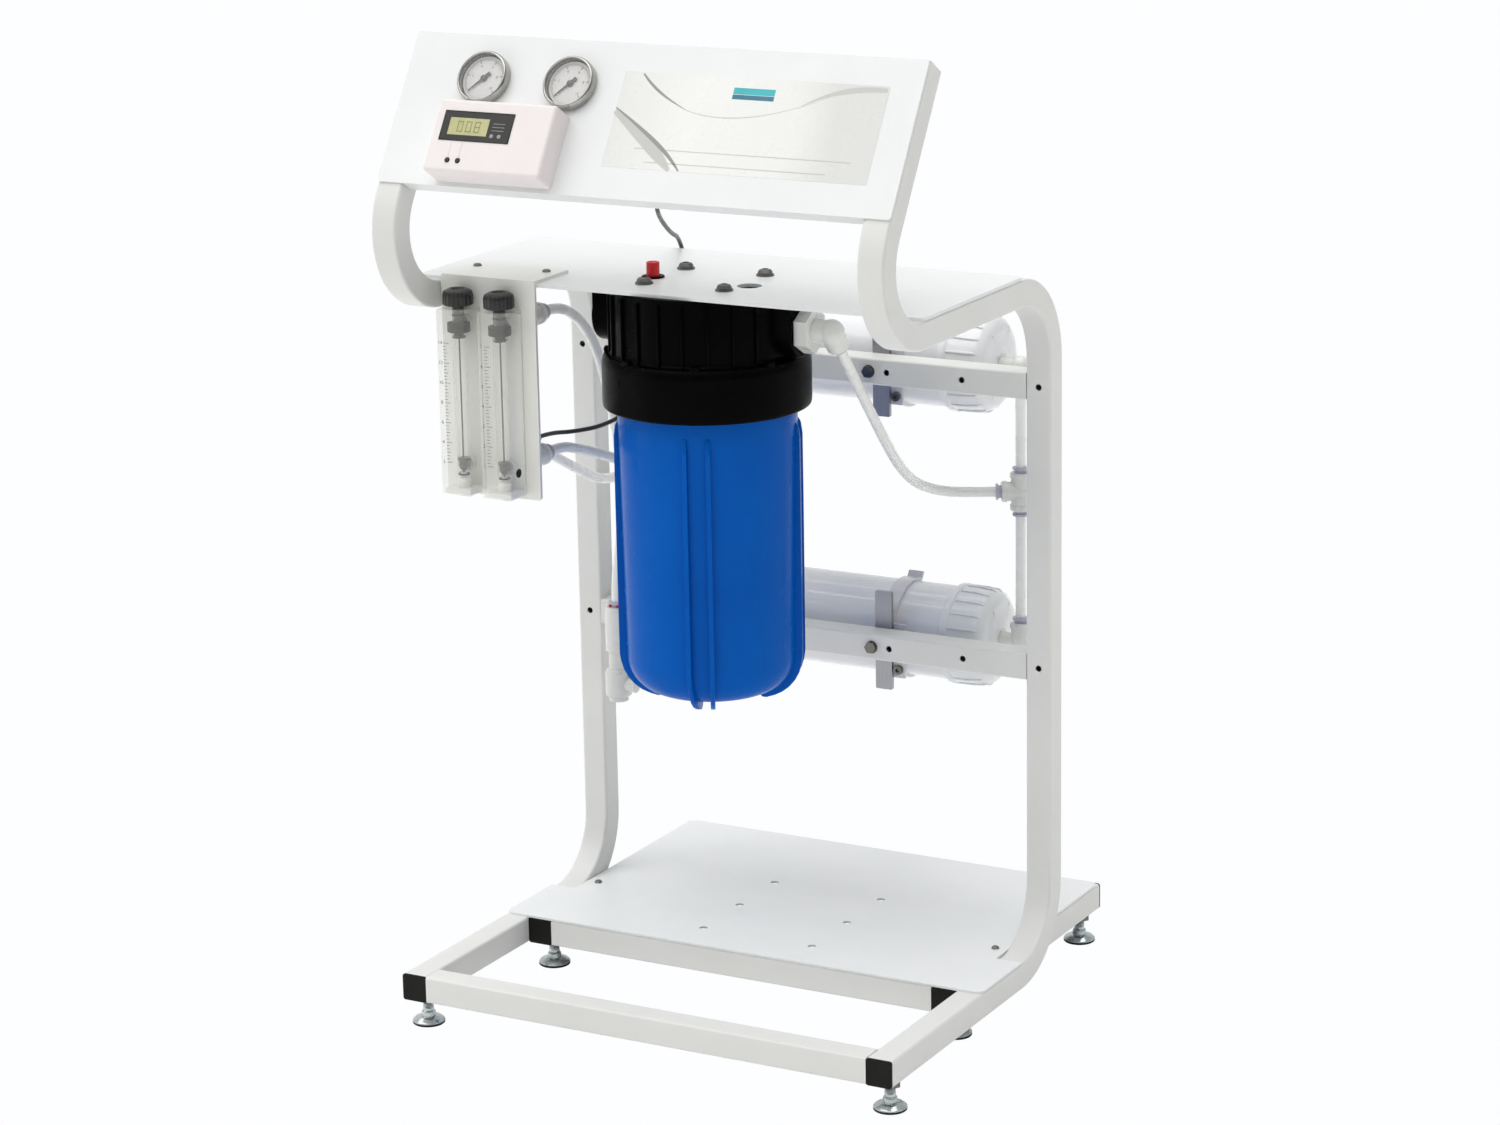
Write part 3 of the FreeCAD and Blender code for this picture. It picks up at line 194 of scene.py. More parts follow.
def metal(name, base, tint, rough=0.28, brushed=0.0, axis=2):
    m, t, b = nt(name)
    sc = [1, 1, 1]
    if brushed:
        sc = [30, 30, 30]
        sc[axis] = 1
    v = coords(t, tuple(sc))
    f = noise(t, v, 40.0 if brushed else 55.0, 5.0, 0.7)
    t.links.new(ramp(t, f, [(0.3, base), (0.7, tint)]), b.inputs["Base Color"])
    t.links.new(maprange(t, f, rough - 0.1, rough + 0.12, 0.25, 0.75), b.inputs["Roughness"])
    sset(b, Metallic=1.0)
    bump(t, b, f, 0.2, 0.00006)
    return m


def clear(name, base, alpha=0.25, rough=0.05, coat=0.6, lo=0.7, hi=1.3):
    """clear moulded plastic or glass: a thin tinted film that lets light through, with its gloss on top"""
    m, t, b = nt(name)
    v = coords(t)
    f = noise(t, v, 35.0, 3.0, 0.6)
    t.links.new(ramp(t, f, [(0.3, base), (0.7, tuple(min(1.0, c * 1.05) for c in base))]), b.inputs["Base Color"])
    lw = t.nodes.new("ShaderNodeLayerWeight")
    lw.inputs["Blend"].default_value = 0.35
    t.links.new(maprange(t, lw.outputs["Facing"], alpha * lo, min(1.0, alpha * hi + 0.25)), b.inputs["Alpha"])
    r = noise(t, v, 60.0, 4.0, 0.6)
    t.links.new(maprange(t, r, max(0.01, rough - 0.03), rough + 0.05, 0.35, 0.75), b.inputs["Roughness"])
    sset(b, Specular_IOR_Level=0.6, Coat_Weight=coat, Coat_Roughness=0.03, IOR=1.49)
    return m


M = {}
M["stand_paint"] = powder("stand_paint_mat", (0.735, 0.74, 0.715), (0.775, 0.78, 0.755))
M["plate_paint"] = powder("plate_paint_mat", (0.80, 0.82, 0.82), (0.84, 0.855, 0.855), 0.36)
M["plug_black"] = plastic("plug_black_mat", (0.006, 0.006, 0.005), (0.01, 0.01, 0.009), 0.5, 0.16)
M["head_black"] = plastic("head_black_mat", (0.0008, 0.0008, 0.001), (0.0018, 0.0018, 0.002), 0.32, 0.03, 260.0, 0.00004, 0.25, 0.0)
M["sump_blue"] = plastic("sump_blue_mat", (0.0002, 0.092, 0.45), (0.0004, 0.11, 0.50), 0.24, 0.04, 200.0, 0.00002, 0.15, 0.03, 9.0, 0.05)
M["seal_rubber"] = plastic("seal_rubber_mat", (0.006, 0.006, 0.006), (0.01, 0.01, 0.01), 0.6, 0.3)
M["filter_media"] = plastic("filter_media_mat", (0.72, 0.72, 0.67), (0.8, 0.8, 0.76), 0.8)
M["button_red"] = plastic("button_red_mat", (0.62, 0.006, 0.012), (0.7, 0.012, 0.02), 0.3)
M["zinc_steel"] = metal("zinc_steel_mat", (0.12, 0.118, 0.11), (0.24, 0.235, 0.22), 0.4)
M["foot_metal"] = metal("foot_metal_mat", (0.4, 0.46, 0.47), (0.66, 0.7, 0.7), 0.2)
M["gauge_chrome"] = metal("gauge_chrome_mat", (0.36, 0.355, 0.34), (0.5, 0.495, 0.475), 0.16)
M["dial_white"] = plastic("dial_white_mat", (0.70, 0.69, 0.68), (0.74, 0.73, 0.72), 0.5)
M["needle_black"] = plastic("needle_black_mat", (0.008, 0.008, 0.008), (0.014, 0.014, 0.014), 0.4)
M["gauge_glass"] = clear("gauge_glass_mat", (0.95, 0.96, 0.97), 0.06, 0.02, 1.0)
M["acrylic_clear"] = clear("acrylic_clear_mat", (0.93, 0.94, 0.89), 0.2)
M["float_steel"] = metal("float_steel_mat", (0.05, 0.05, 0.052), (0.1, 0.1, 0.1), 0.3)
M["knob_black"] = plastic("knob_black_mat", (0.012, 0.013, 0.012), (0.03, 0.033, 0.03), 0.3, 0.4)
M["bracket_white"] = powder("bracket_white_mat", (0.82, 0.825, 0.78), (0.86, 0.865, 0.82), 0.4)
M["fitting_white"] = milky("fitting_white_mat", (0.70, 0.71, 0.68), (0.78, 0.79, 0.76))
M["collet_grey"] = plastic("collet_grey_mat", (0.42, 0.42, 0.52), (0.5, 0.5, 0.6), 0.32)
M["tube_white"] = milky("tube_white_mat", (0.84, 0.85, 0.825), (0.88, 0.885, 0.865), 0.28)
M["housing_white"] = plastic("housing_white_mat", (0.77, 0.785, 0.82), (0.81, 0.825, 0.85), 0.14, 0.5, 120.0, 0.00003, 0.12, 0.5)
M["cap_white"] = milky("cap_white_mat", (0.77, 0.79, 0.81), (0.83, 0.845, 0.86), 0.2)
M["element_wrap"] = plastic("element_wrap_mat", (0.7, 0.72, 0.76), (0.76, 0.78, 0.8), 0.4)
M["bar_aluminium"] = metal("bar_aluminium_mat", (0.36, 0.36, 0.385), (0.45, 0.45, 0.47), 0.45, 1.0, 2)
M["clip_white"] = plastic("clip_white_mat", (0.62, 0.62, 0.67), (0.7, 0.7, 0.74), 0.16, 0.5, 300.0, 0.00003, 0.2, 0.5)
M["meter_case"] = plastic("meter_case_mat", (0.83, 0.775, 0.775), (0.86, 0.81, 0.805), 0.42, 0.4, 500.0, 0.00004)
M["display_dark"] = plastic("display_dark_mat", (0.004, 0.004, 0.0045), (0.008, 0.008, 0.008), 0.12, 0.35)
M["key_dark"] = plastic("key_dark_mat", (0.012, 0.012, 0.013), (0.02, 0.02, 0.02), 0.5)
M["cable_black"] = plastic("cable_black_mat", (0.008, 0.009, 0.009), (0.016, 0.017, 0.017), 0.36)
# one near-black colour for the printed ink of the scales and for the painted shade ring inside the gauge bezels
INK_AND_SHADE = plastic("ink_and_shade_mat", (0.03, 0.03, 0.03), (0.05, 0.05, 0.05), 0.6, 0.3)
INK_GREY = plastic("ink_grey_mat", (0.30, 0.30, 0.29), (0.36, 0.36, 0.35), 0.6, 0.3)
INK_PALE = plastic("ink_pale_mat", (0.56, 0.56, 0.54), (0.62, 0.62, 0.60), 0.6, 0.3)
LCD = plastic("lcd_mat", (0.42, 0.42, 0.17), (0.50, 0.49, 0.24), 0.25, 0.5, 400.0, 0.00001, 0.1, 0.2, 60.0)
LCD_SEG = plastic("lcd_segment_mat", (0.22, 0.23, 0.09), (0.26, 0.26, 0.11), 0.4)
TEAL = plastic("teal_mat", (0.03, 0.42, 0.47), (0.05, 0.5, 0.54), 0.4)
TEAL_DEEP = plastic("teal_deep_mat", (0.02, 0.16, 0.24), (0.03, 0.2, 0.3), 0.4)
HOLE = plastic("hole_dark_mat", (0.01, 0.01, 0.01), (0.015, 0.015, 0.015), 0.8, 0.1)

SLOT = {s["node"]: s["material_slot"] for s in frame["record"]["subparts"]}


def dress(o, mat):
    if not o.material_slots:
        o.data.materials.append(mat)
    for s in o.material_slots:
        s.material = mat


for n, o in NODES.items():
    dress(o, M[SLOT[n]])

# ------------------------------------------------------------------ mesh building
def soft(pts, r, closed=False, n=4):
    """rounds the corners of a polyline of 2-D points by r mm; (r, z, k) sets that corner's own radius"""
    out = []
    N = len(pts)
    for i, p in enumerate(pts):
        if not closed and i in (0, N - 1):
            out.append((p[0], p[1]))
            continue
        q, s_ = pts[i - 1], pts[(i + 1) % N]
        a_ = Vector((q[0] - p[0], q[1] - p[1]))
        b_ = Vector((s_[0] - p[0], s_[1] - p[1]))
        k = p[2] if len(p) > 2 else r
        k = min(k, a_.length * 0.48, b_.length * 0.48)
        if k < 0.02:
            out.append((p[0], p[1]))
            continue
        c = Vector((p[0], p[1]))
        A, B_ = c + a_.normalized() * k, c + b_.normalized() * k
        for j in range(n + 1):
            f = j / n
            v = A * (1 - f) ** 2 + c * 2 * f * (1 - f) + B_ * f * f
            out.append((v.x, v.y))
    return out


def at(x, y, z=0.0):
    return Matrix.Translation(P(x, y, z))


def along(x, y, z, d):
    """frame at a point with its own z axis along d"""
    return Matrix.Translation(P(x, y, z)) @ Vector(d).to_track_quat("Z", "X").to_matrix().to_4x4()


def on_panel(u, v, w=0.0):
    return PANEL @ Matrix.Translation((u / 1000.0, v / 1000.0, w / 1000.0))


I4 = Matrix.Translation((0, -YC / 1000.0, 0))


class Build:
    def __init__(self):
        self.bm = bmesh.new()

    def lathe(self, prof, M4, segs=96, closed=False, start=0.0):
        rings = []
        for r, z in prof:
            if abs(r) < 1e-6:
                rings.append([self.bm.verts.new(M4 @ Vector((0, 0, z / 1000.0)))])
            else:
                rings.append([self.bm.verts.new(M4 @ Vector((r / 1000.0 * math.cos(start + 2 * math.pi * i / segs), r / 1000.0 * math.sin(start + 2 * math.pi * i / segs), z / 1000.0))) for i in range(segs)])
        seq = list(zip(rings, rings[1:])) + ([(rings[-1], rings[0])] if closed else [])
        for A, B_ in seq:
            if len(A) == 1 and len(B_) == 1:
                continue
            for i in range(segs):
                j = (i + 1) % segs
                if len(A) == 1:
                    self.bm.faces.new((A[0], B_[j], B_[i]))
                elif len(B_) == 1:
                    self.bm.faces.new((A[i], A[j], B_[0]))
                else:
                    self.bm.faces.new((A[i], A[j], B_[j], B_[i]))
        return self

    def prism(self, pts, h0, h1, M4, r=0.0, seg=2):
        """closed outline in local x, y pulled from z h0 to h1 (mm), with its edges rounded by r"""
        lo = [self.bm.verts.new(Vector((x / 1000.0, y / 1000.0, h0 / 1000.0))) for x, y in pts]
        hi = [self.bm.verts.new(Vector((x / 1000.0, y / 1000.0, h1 / 1000.0))) for x, y in pts]
        n = len(pts)
        fs = [self.bm.faces.new(lo[::-1]), self.bm.faces.new(hi)]
        for i in range(n):
            j = (i + 1) % n
            fs.append(self.bm.faces.new((lo[i], lo[j], hi[j], hi[i])))
        vs = lo + hi
        if r > 0:
            es = list({e for f in fs for e in f.edges})
            g = bmesh.ops.bevel(self.bm, geom=es, offset=r / 1000.0, segments=seg, affect="EDGES", profile=0.5, clamp_overlap=True)
            vs = list({v for f in g["faces"] for v in f.verts} | {v for v in vs if v.is_valid} | {v for f in fs if f.is_valid for v in f.verts})
        bmesh.ops.transform(self.bm, matrix=M4, verts=[v for v in vs if v.is_valid])
        return self

    def block(self, x0, x1, y0, y1, z0, z1, M4, r=0.0, seg=2):
        return self.prism([(x0, y0), (x1, y0), (x1, y1), (x0, y1)], z0, z1, M4, r, seg)

    def text(self, body, size, M4):
        cu = bpy.data.curves.new("t", "FONT")
        cu.body = body
        cu.size = size / 1000.0
        cu.align_x = "CENTER"
        cu.align_y = "CENTER"
        o = bpy.data.objects.new("t", cu)
        bpy.context.scene.collection.objects.link(o)
        me = bpy.data.meshes.new_from_object(o.evaluated_get(bpy.context.evaluated_depsgraph_get()))
        bpy.data.objects.remove(o)
        bpy.data.curves.remove(cu)
        me.transform(M4)
        self.bm.from_mesh(me)
        bpy.data.meshes.remove(me)
        return self

    def make(self, name, mat, body="stand", gone=(), angle=35.0, bevel=0.0):
        bmesh.ops.recalc_face_normals(self.bm, faces=self.bm.faces)
        me = bpy.data.meshes.new(name)
        self.bm.to_mesh(me)
        self.bm.free()
        for p in me.polygons:
            p.use_smooth = True
        me.set_sharp_from_angle(angle=math.radians(angle))
        o = bpy.data.objects.new(name, me)
        bpy.context.scene.collection.objects.link(o)
        me.materials.append(M[mat] if isinstance(mat, str) else mat)
        if bevel:
            md = o.modifiers.new("edge", "BEVEL")
            md.width = bevel / 1000.0
            md.segments = 2
            md.limit_method = "ANGLE"
            md.angle_limit = math.radians(40)
            md.harden_normals = False
        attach(o, body)
        if gone:
            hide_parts(*gone)
        return o


def arcp(cx, cy, r, a0, a1, n):
    return [(cx + r * math.cos(math.radians(a0 + (a1 - a0) * i / n)), cy + r * math.sin(math.radians(a0 + (a1 - a0) * i / n))) for i in range(n + 1)]


def ring_torus(B_, R_, r, z, M4, segs=64, n=10):
    B_.lathe([(R_ + r * math.cos(2 * math.pi * i / n), z + r * math.sin(2 * math.pi * i / n)) for i in range(n)], M4, segs, closed=True)


# ------------------------------------------------------------------ prefilter sump
FX, FY = -1.0, 149.0
B = Build()
outer = soft([(74.8, 611.5), (80.4, 611.5, 1), (80.6, 591), (81.6, 589.5, 0.8), (81.6, 585.5, 1), (80.2, 583.6, 1), (80.0, 577.5), (80.0, 560)], 0.8)
wall = [(80.0 - 3.0 * (560 - z) / 208.0, z) for z in (540, 500, 460, 420, 380)] + arcp(43.0, 352.0, 34.0, 0, -84, 18)
base = soft([(46.4, 318.2), (43.0, 318.0), (40.0, 316.6, 2), (37.0, 318.0, 2), (12.0, 318.0), (0, 318.0)], 1.5)
inner = [(0, 323.4), (38.0, 323.4)] + arcp(43.0, 352.0, 29.0, -84, 0, 12) + [(74.0, 590.0), (72.4, 596.0), (74.8, 600.0)]
B.lathe(outer + wall + base[1:] + inner, at(FX, FY), 160, closed=True)
for q in range(4):
    for dlt in (-7.2, 7.2):
        ang = math.radians(-68.5 + 90.0 * q + dlt)
        out_ = [(73.8, 560.0), (79.6, 566.5), (82.4, 562.0), (83.8, 552.0)] + [(84.0 - 0.5 * k / 4, 552.0 - 50.0 * k) for k in range(1, 4)] + [(83.5, 352.0)] + \
               [(43.0 + 40.0 * math.cos(math.radians(b_)), 351.0 + 40.0 * math.sin(math.radians(b_))) for b_ in (-10, -22, -34, -46, -58, -70)] + \
               [(50.0, 311.6), (46.0, 311.2), (42.6, 314.5), (42.2, 319.4)] + [(43.0 + 31.5 * math.cos(math.radians(b_)), 352.0 + 31.5 * math.sin(math.radians(b_))) for b_ in (-78, -60, -42, -22)] + [(74.0, 356.0)]
        # local x = radius, local y = height; pulled along the third axis
        Mr = Matrix.Translation(P(FX, FY, 0)) @ Matrix.Rotation(ang, 4, "Z") @ Matrix(((1, 0, 0, 0), (0, 0, 1, 0), (0, 1, 0, 0), (0, 0, 0, 1)))
        B.prism(out_, -2.1, 2.1, Mr, 1.3, 3)
B.make("sump_moulded", "sump_blue", "sump", gone=("sump",))

# ------------------------------------------------------------------ prefilter head
B = Build()
core = soft([(0, 688), (84, 688, 1.5), (84, 631, 2), (86, 628.4, 2), (90.2, 628.0, 4.5), (93, 622, 4), (93, 586), (92.6, 580, 3), (84.4, 580, 1.5), (82.5, 583.0, 1), (82.5, 615), (72, 615), (72, 642), (0, 642)], 1.0)
B.lathe(core, at(FX, FY), 160)
for k in range(24):
    a_ = 15.0 * k
    if min(abs((a_ + 180) % 360 - 180), abs(a_ - 180)) < 20:
        continue
    Mk = Matrix.Translation(P(FX, FY, 0)) @ Matrix.Rotation(math.radians(a_), 4, "Z")
    B.block(81.5, 86.6, -1.1, 1.1, 628.0, 683.5, Mk, 0.7, 2)
for k in range(8):
    Mk = Matrix.Translation(P(FX, FY, 0)) @ Matrix.Rotation(math.radians(22.5 + 45.0 * k), 4, "Z")
    B.block(85.5, 91.0, -4.5, 4.5, 626.0, 631.2, Mk, 1.4, 3)
for sx, xe, rb in ((-1, -104.0, 12.1), (1, 96.0, 10.95)):
    x0, x1 = (xe, -51.0) if sx < 0 else (50.0, xe)
    B.block(x0 + (0.4 if sx < 0 else 0), x1 - (0.4 if sx > 0 else 0), FY - 24, FY + 24, 652.0, 687.8, I4, 2.2, 3)
    Mx = along(xe, FY, 654.0, (-sx, 0, 0))
    boss = soft([(24.0, 50.0), (24.0, 0.0, 1.6), (21.5, -0.0, 0.4), (20.8, 1.0, 0.4), (rb + 2.6, 1.0, 0.4), (rb + 2.2, 0.0, 0.5), (rb + 1.2, 0.0, 0.5)], 0.5)
    thread = []
    for k in range(9):
        thread += [(rb, 1.6 + 1.8 * k), (rb + 0.9, 2.5 + 1.8 * k)]
    B.lathe(boss + thread + [(rb, 19.0), (rb, 40.0), (0, 40.0)], Mx, 72)
B.lathe(soft([(9.2, 596.0), (9.2, 592.4), (13.6, 592.4, 0.8), (14.0, 600), (14.0, 642.5)], 0.4), at(FX, FY), 48)
B.make("filter_head_moulded", "head_black", "stand", gone=("filter_head",))

# relief button: domed cap with a finger dish
B = Build()
B.lathe(soft([(0, 672.0), (6.1, 672.0, 0.3), (6.1, 691.2, 0.4), (5.9, 691.6, 0.2), (5.9, 704.9, 1.2), (4.4, 705.0, 0.6), (3.6, 704.2, 0.6), (0, 703.8)], 0.5), at(-48.5, 140.5), 56)
B.make("relief_button_cap", "button_red", "relief_button", gone=("relief_button",))
B = Build()
B.lathe(soft([(6.5, 690.9), (10.4, 690.95, 0.6), (10.2, 692.6, 0.6), (7.4, 692.8, 0.5), (6.5, 691.6)], 0.4, closed=True), at(-48.5, 140.5), 56, closed=True)
B.make("relief_button_bush", "head_black")

# ------------------------------------------------------------------ gauges
GA = ((-168.3, 100.8), (-81.2, 100.8))
B = Build()
for u, v in GA:
    B.lathe(soft([(0, -22), (18.0, -22, 2), (19.6, -20.4, 1), (19.6, -2.0), (19.6, 0.0), (24.5, 0.05, 0.5), (24.7, 0.8, 0.5), (24.7, 6.2, 1.4), (23.9, 8.2, 1.2), (22.9, 9.0, 0.8), (22.2, 9.0, 0.4), (21.7, 8.3, 0.4), (21.7, 2.7)], 0.5), on_panel(u, v), 120)
    B.lathe(soft([(5.5, -22.0), (5.5, -30.0)], 0.4), on_panel(u, v), 40)
    B.lathe(soft([(0, -30), (8.1, -30, 0.8), (8.1, -36, 0.8), (4.8, -36.2)], 0.4), on_panel(u, v), 6)
    tp = [(4.8, -36.0)]
    for k in range(7):
        tp += [(4.8, -36.4 - 1.2 * k), (4.3, -37.0 - 1.2 * k)]
    B.lathe(tp + [(4.2, -45.0), (1.6, -45.0), (1.6, -40.0), (0, -40.0)], on_panel(u, v), 40)
B.make("gauge_bezels", "gauge_chrome", "stand", gone=("gauge_cases",))
# dark ring over the inner wall of each bezel: painted shade where the bezel shadows the dial
B = Build()
for u, v in GA:
    B.lathe([(21.9, 7.4), (21.9, 6.0), (22.15, 5.4), (21.6, 2.62), (20.9, 2.62)], on_panel(u, v), 96)
B.make("gauge_shadow_rings", INK_AND_SHADE, "stand")
B = Build()
G2 = Build()
for u, v in GA:
    for k in range(51):
        a_ = math.radians(225.0 - 270.0 * k / 50)
        major = k % 10 == 0
        mid = k % 5 == 0
        r0 = 15.2 if major else (16.4 if mid else 17.2)
        w_ = 0.32 if major else 0.16
        Mk = on_panel(u, v, 2.62) @ Matrix.Rotation(a_, 4, "Z")
        B.block(r0, 18.6, -w_, w_, 0, 0.08, Mk)
    for k in range(6):
        a_ = math.radians(225.0 - 270.0 * k / 5)
        B.text(str(2 * k), 3.6, on_panel(u + 12.4 * math.cos(a_), v + 12.4 * math.sin(a_), 2.66))
    G2.lathe([(18.9, 2.64), (18.9, 2.72), (18.65, 2.72), (18.65, 2.64)], on_panel(u, v), 96)
    G2.lathe(soft([(0, 2.6), (3.4, 2.6), (3.4, 2.9, 0.3), (3.0, 3.1, 0.3), (0, 3.1)], 0.2), on_panel(u, v), 40)
B.make("gauge_scales", INK_AND_SHADE, "stand")
G2.make("gauge_scale_rings", INK_GREY, "stand")
for i, (u, v) in enumerate(GA):
    B = Build()
    Mk = on_panel(u, v) @ Matrix.Rotation(math.radians(225.0), 4, "Z")
    B.prism([(-7.4, -1.5), (-6.6, -1.9), (-1.5, -1.3), (2.0, -1.15), (17.2, -0.28), (17.2, 0.28), (2.0, 1.15), (-1.5, 1.3), (-6.6, 1.9), (-7.4, 1.5)], 3.7, 4.2, Mk, 0.12, 2)
    B.lathe(soft([(0, 3.3), (2.9, 3.3), (2.9, 4.7, 0.5), (1.4, 5.2, 0.4), (0, 5.2)], 0.3), on_panel(u, v), 48)
    n = ("left", "right")[i]
    B.make("gauge_needle_" + n + "_arm", "needle_black", "needle_" + n, gone=("gauge_needle_" + n,))

# ------------------------------------------------------------------ quality meter face
B = Build()
B.block(-175.0, -135.6, 38.0, 54.0, 25.42, 25.62, PANEL, 0.08, 1)
B.make("quality_meter_lcd", LCD, "stand")
B = Build()
SEG = {"0": "abcdef", "1": "bc", "2": "abged", "8": "abcdefg"}


def digit(B_, ch, u, v, h, w_):
    t_ = h * 0.1
    s_ = {"a": (0, h, w_, h - t_), "g": (0, h / 2 + t_ / 2, w_, h / 2 - t_ / 2), "d": (0, t_, w_, 0),
          "f": (0, h, t_, h / 2), "b": (w_ - t_, h, w_, h / 2), "e": (0, h / 2, t_, 0), "c": (w_ - t_, h / 2, w_, 0)}
    for c in SEG[ch]:
        x0, y1, x1, y0 = s_[c]
        B_.block(u + x0 + 0.12, u + x1 - 0.12, v + y0 + 0.12, v + y1 - 0.12, 25.63, 25.68, PANEL)


for k, ch in enumerate("008"):
    digit(B, ch, -166.5 + 8.6 * k, 40.8, 10.2, 5.6)
B.make("quality_meter_digits", LCD_SEG, "stand")
B = Build()
for u_ in (-130.2, -122.6):
    B.lathe(soft([(0, 25.42), (1.9, 25.42), (1.9, 25.9, 0.3), (0, 25.95)], 0.2), on_panel(u_, 38.6), 32)
for k in range(3):
    B.block(-131.5, -119.5, 50.0 - 3.2 * k, 50.5 - 3.2 * k, 25.42, 25.46, PANEL)
B.make("quality_meter_lamps", INK_GREY, "stand")
B = Build()
for (u0, v0), (u1, v1) in (((-168.0, 17.6), (-168.0, 32.6)), ((-157.5, 17.6), (-157.5, 32.6))):
    B.block(u0 - 0.18, u0 + 0.18, v0, v1, 25.02, 25.07, PANEL)
B.make("quality_meter_lines", INK_PALE, "stand")
# window frame: thin raised lip round the dark window
B = Build()
fr = [(-182.4, 32.6), (-112.1, 32.6), (-112.1, 60.4), (-182.4, 60.4)]
for x0, x1, y0, y1 in ((-182.4, -112.1, 32.6, 33.6), (-182.4, -112.1, 59.4, 60.4), (-182.4, -181.4, 33.6, 59.4), (-113.1, -112.1, 33.6, 59.4)):
    B.block(x0, x1, y0, y1, 24.6, 25.6, PANEL, 0.25, 2)
B.make("quality_meter_window_lip", "display_dark")
# dark pad under the case: a painted shadow line round its foot
B = Build()
B.block(-189.2, -75.8, 5.6, 69.9, 0.02, 1.2, PANEL, 0.4, 2)
B.make("quality_meter_painted_shadow_pad", "seal_rubber")

# ------------------------------------------------------------------ console label
m, t, b = nt("label_mat")
v_ = coords(t)
sep = t.nodes.new("ShaderNodeSeparateXYZ")
t.links.new(v_, sep.inputs["Vector"])
g1 = maprange(t, sep.outputs["X"], 0.0, 1.0, -0.033, 0.222)
wob = noise(t, v_, 7.0, 2.0, 0.5, 0.4)
ad = t.nodes.new("ShaderNodeMath")
ad.operation = "MULTIPLY_ADD"
ad.inputs[1].default_value = 0.35
t.links.new(wob, ad.inputs[0])
t.links.new(g1, ad.inputs[2])
t.links.new(ramp(t, ad.outputs[0], [(0.05, (0.70, 0.71, 0.69)), (0.45, (0.83, 0.84, 0.81)), (0.8, (0.80, 0.81, 0.79)), (1.15, (0.68, 0.69, 0.67))]), b.inputs["Base Color"])
t.links.new(maprange(t, noise(t, v_, 50.0, 3.0, 0.6), 0.22, 0.34), b.inputs["Roughness"])
sset(b, Specular_IOR_Level=0.5, Coat_Weight=0.25, Coat_Roughness=0.15)
B = Build()
pts = []
for cx_, cy_, a0 in ((219.5, 30.0, -90), (219.5, 115.5, 0), (-30.5, 115.5, 90), (-30.5, 30.0, 180)):
    pts += arcp(cx_, cy_, 1.5, a0, a0 + 90, 4)
B.prism(pts, 0.01, 0.14, PANEL)
B.make("console_label", m, "stand")


def sweep_band(B_, ctr, wid, w0):
    """tapering printed sweep along a smooth line given by a few points on the panel"""
    n = 40
    P_ = [Vector(c) for c in ctr]
    def bez(f):
        q = [p.copy() for p in P_]
        while len(q) > 1:
            q = [q[i] * (1 - f) + q[i + 1] * f for i in range(len(q) - 1)]
        return q[0]
    L_, R_ = [], []
    for i in range(n + 1):
        f = i / n
        p = bez(f)
        d_ = (bez(min(1, f + 0.01)) - bez(max(0, f - 0.01))).normalized()
        nn = Vector((-d_.y, d_.x))
        h = 0.5 * (wid[0] + (wid[1] - wid[0]) * f) * (0.25 + 0.75 * math.sin(math.pi * min(1.0, 0.12 + f * 0.88)))
        L_.append(p + nn * h)
        R_.append(p - nn * h)
    vs = [[B_.bm.verts.new(PANEL @ Vector((q.x / 1000.0, q.y / 1000.0, w0 / 1000.0))) for q in row] for row in (L_, R_)]
    for i in range(n):
        B_.bm.faces.new((vs[0][i], vs[1][i], vs[1][i + 1], vs[0][i + 1]))


B = Build()
sweep_band(B, [(-13.5, 115.5), (0, 102), (14, 94), (36, 84.5)], (3.0, 1.6), 0.18)
sweep_band(B, [(-31.8, 83), (-10, 70), (16, 54), (30, 44), (43.5, 29)], (2.2, 5.2), 0.19)
B.make("label_sweeps_dark", INK_GREY, "stand")
B = Build()
sweep_band(B, [(-31.8, 80), (-8, 64), (14, 48), (26, 36), (34, 29)], (10.0, 12.0), 0.16)
sweep_band(B, [(219, 113), (186, 114.5), (160, 106), (140, 92)], (7.0, 1.5), 0.17)
sweep_band(B, [(36, 84.5), (70, 74), (120, 80), (175, 108)], (1.2, 0.7), 0.165)
B.make("label_sweeps_pale", INK_PALE, "stand")
B = Build()
B.block(76.5, 116.0, 101.8, 107.8, 0.14, 0.2, PANEL, 0.02, 1)
B.make("label_mark_upper", TEAL, "stand")
B = Build()
B.block(76.5, 116.0, 97.2, 101.4, 0.14, 0.2, PANEL, 0.02, 1)
B.make("label_mark_lower", TEAL_DEEP, "stand")
B = Build()
B.block(-4.0, 202.0, 46.6, 47.5, 0.14, 0.19, PANEL)
B.block(9.0, 181.0, 34.6, 35.5, 0.14, 0.19, PANEL)
B.make("label_rules", INK_PALE, "stand")

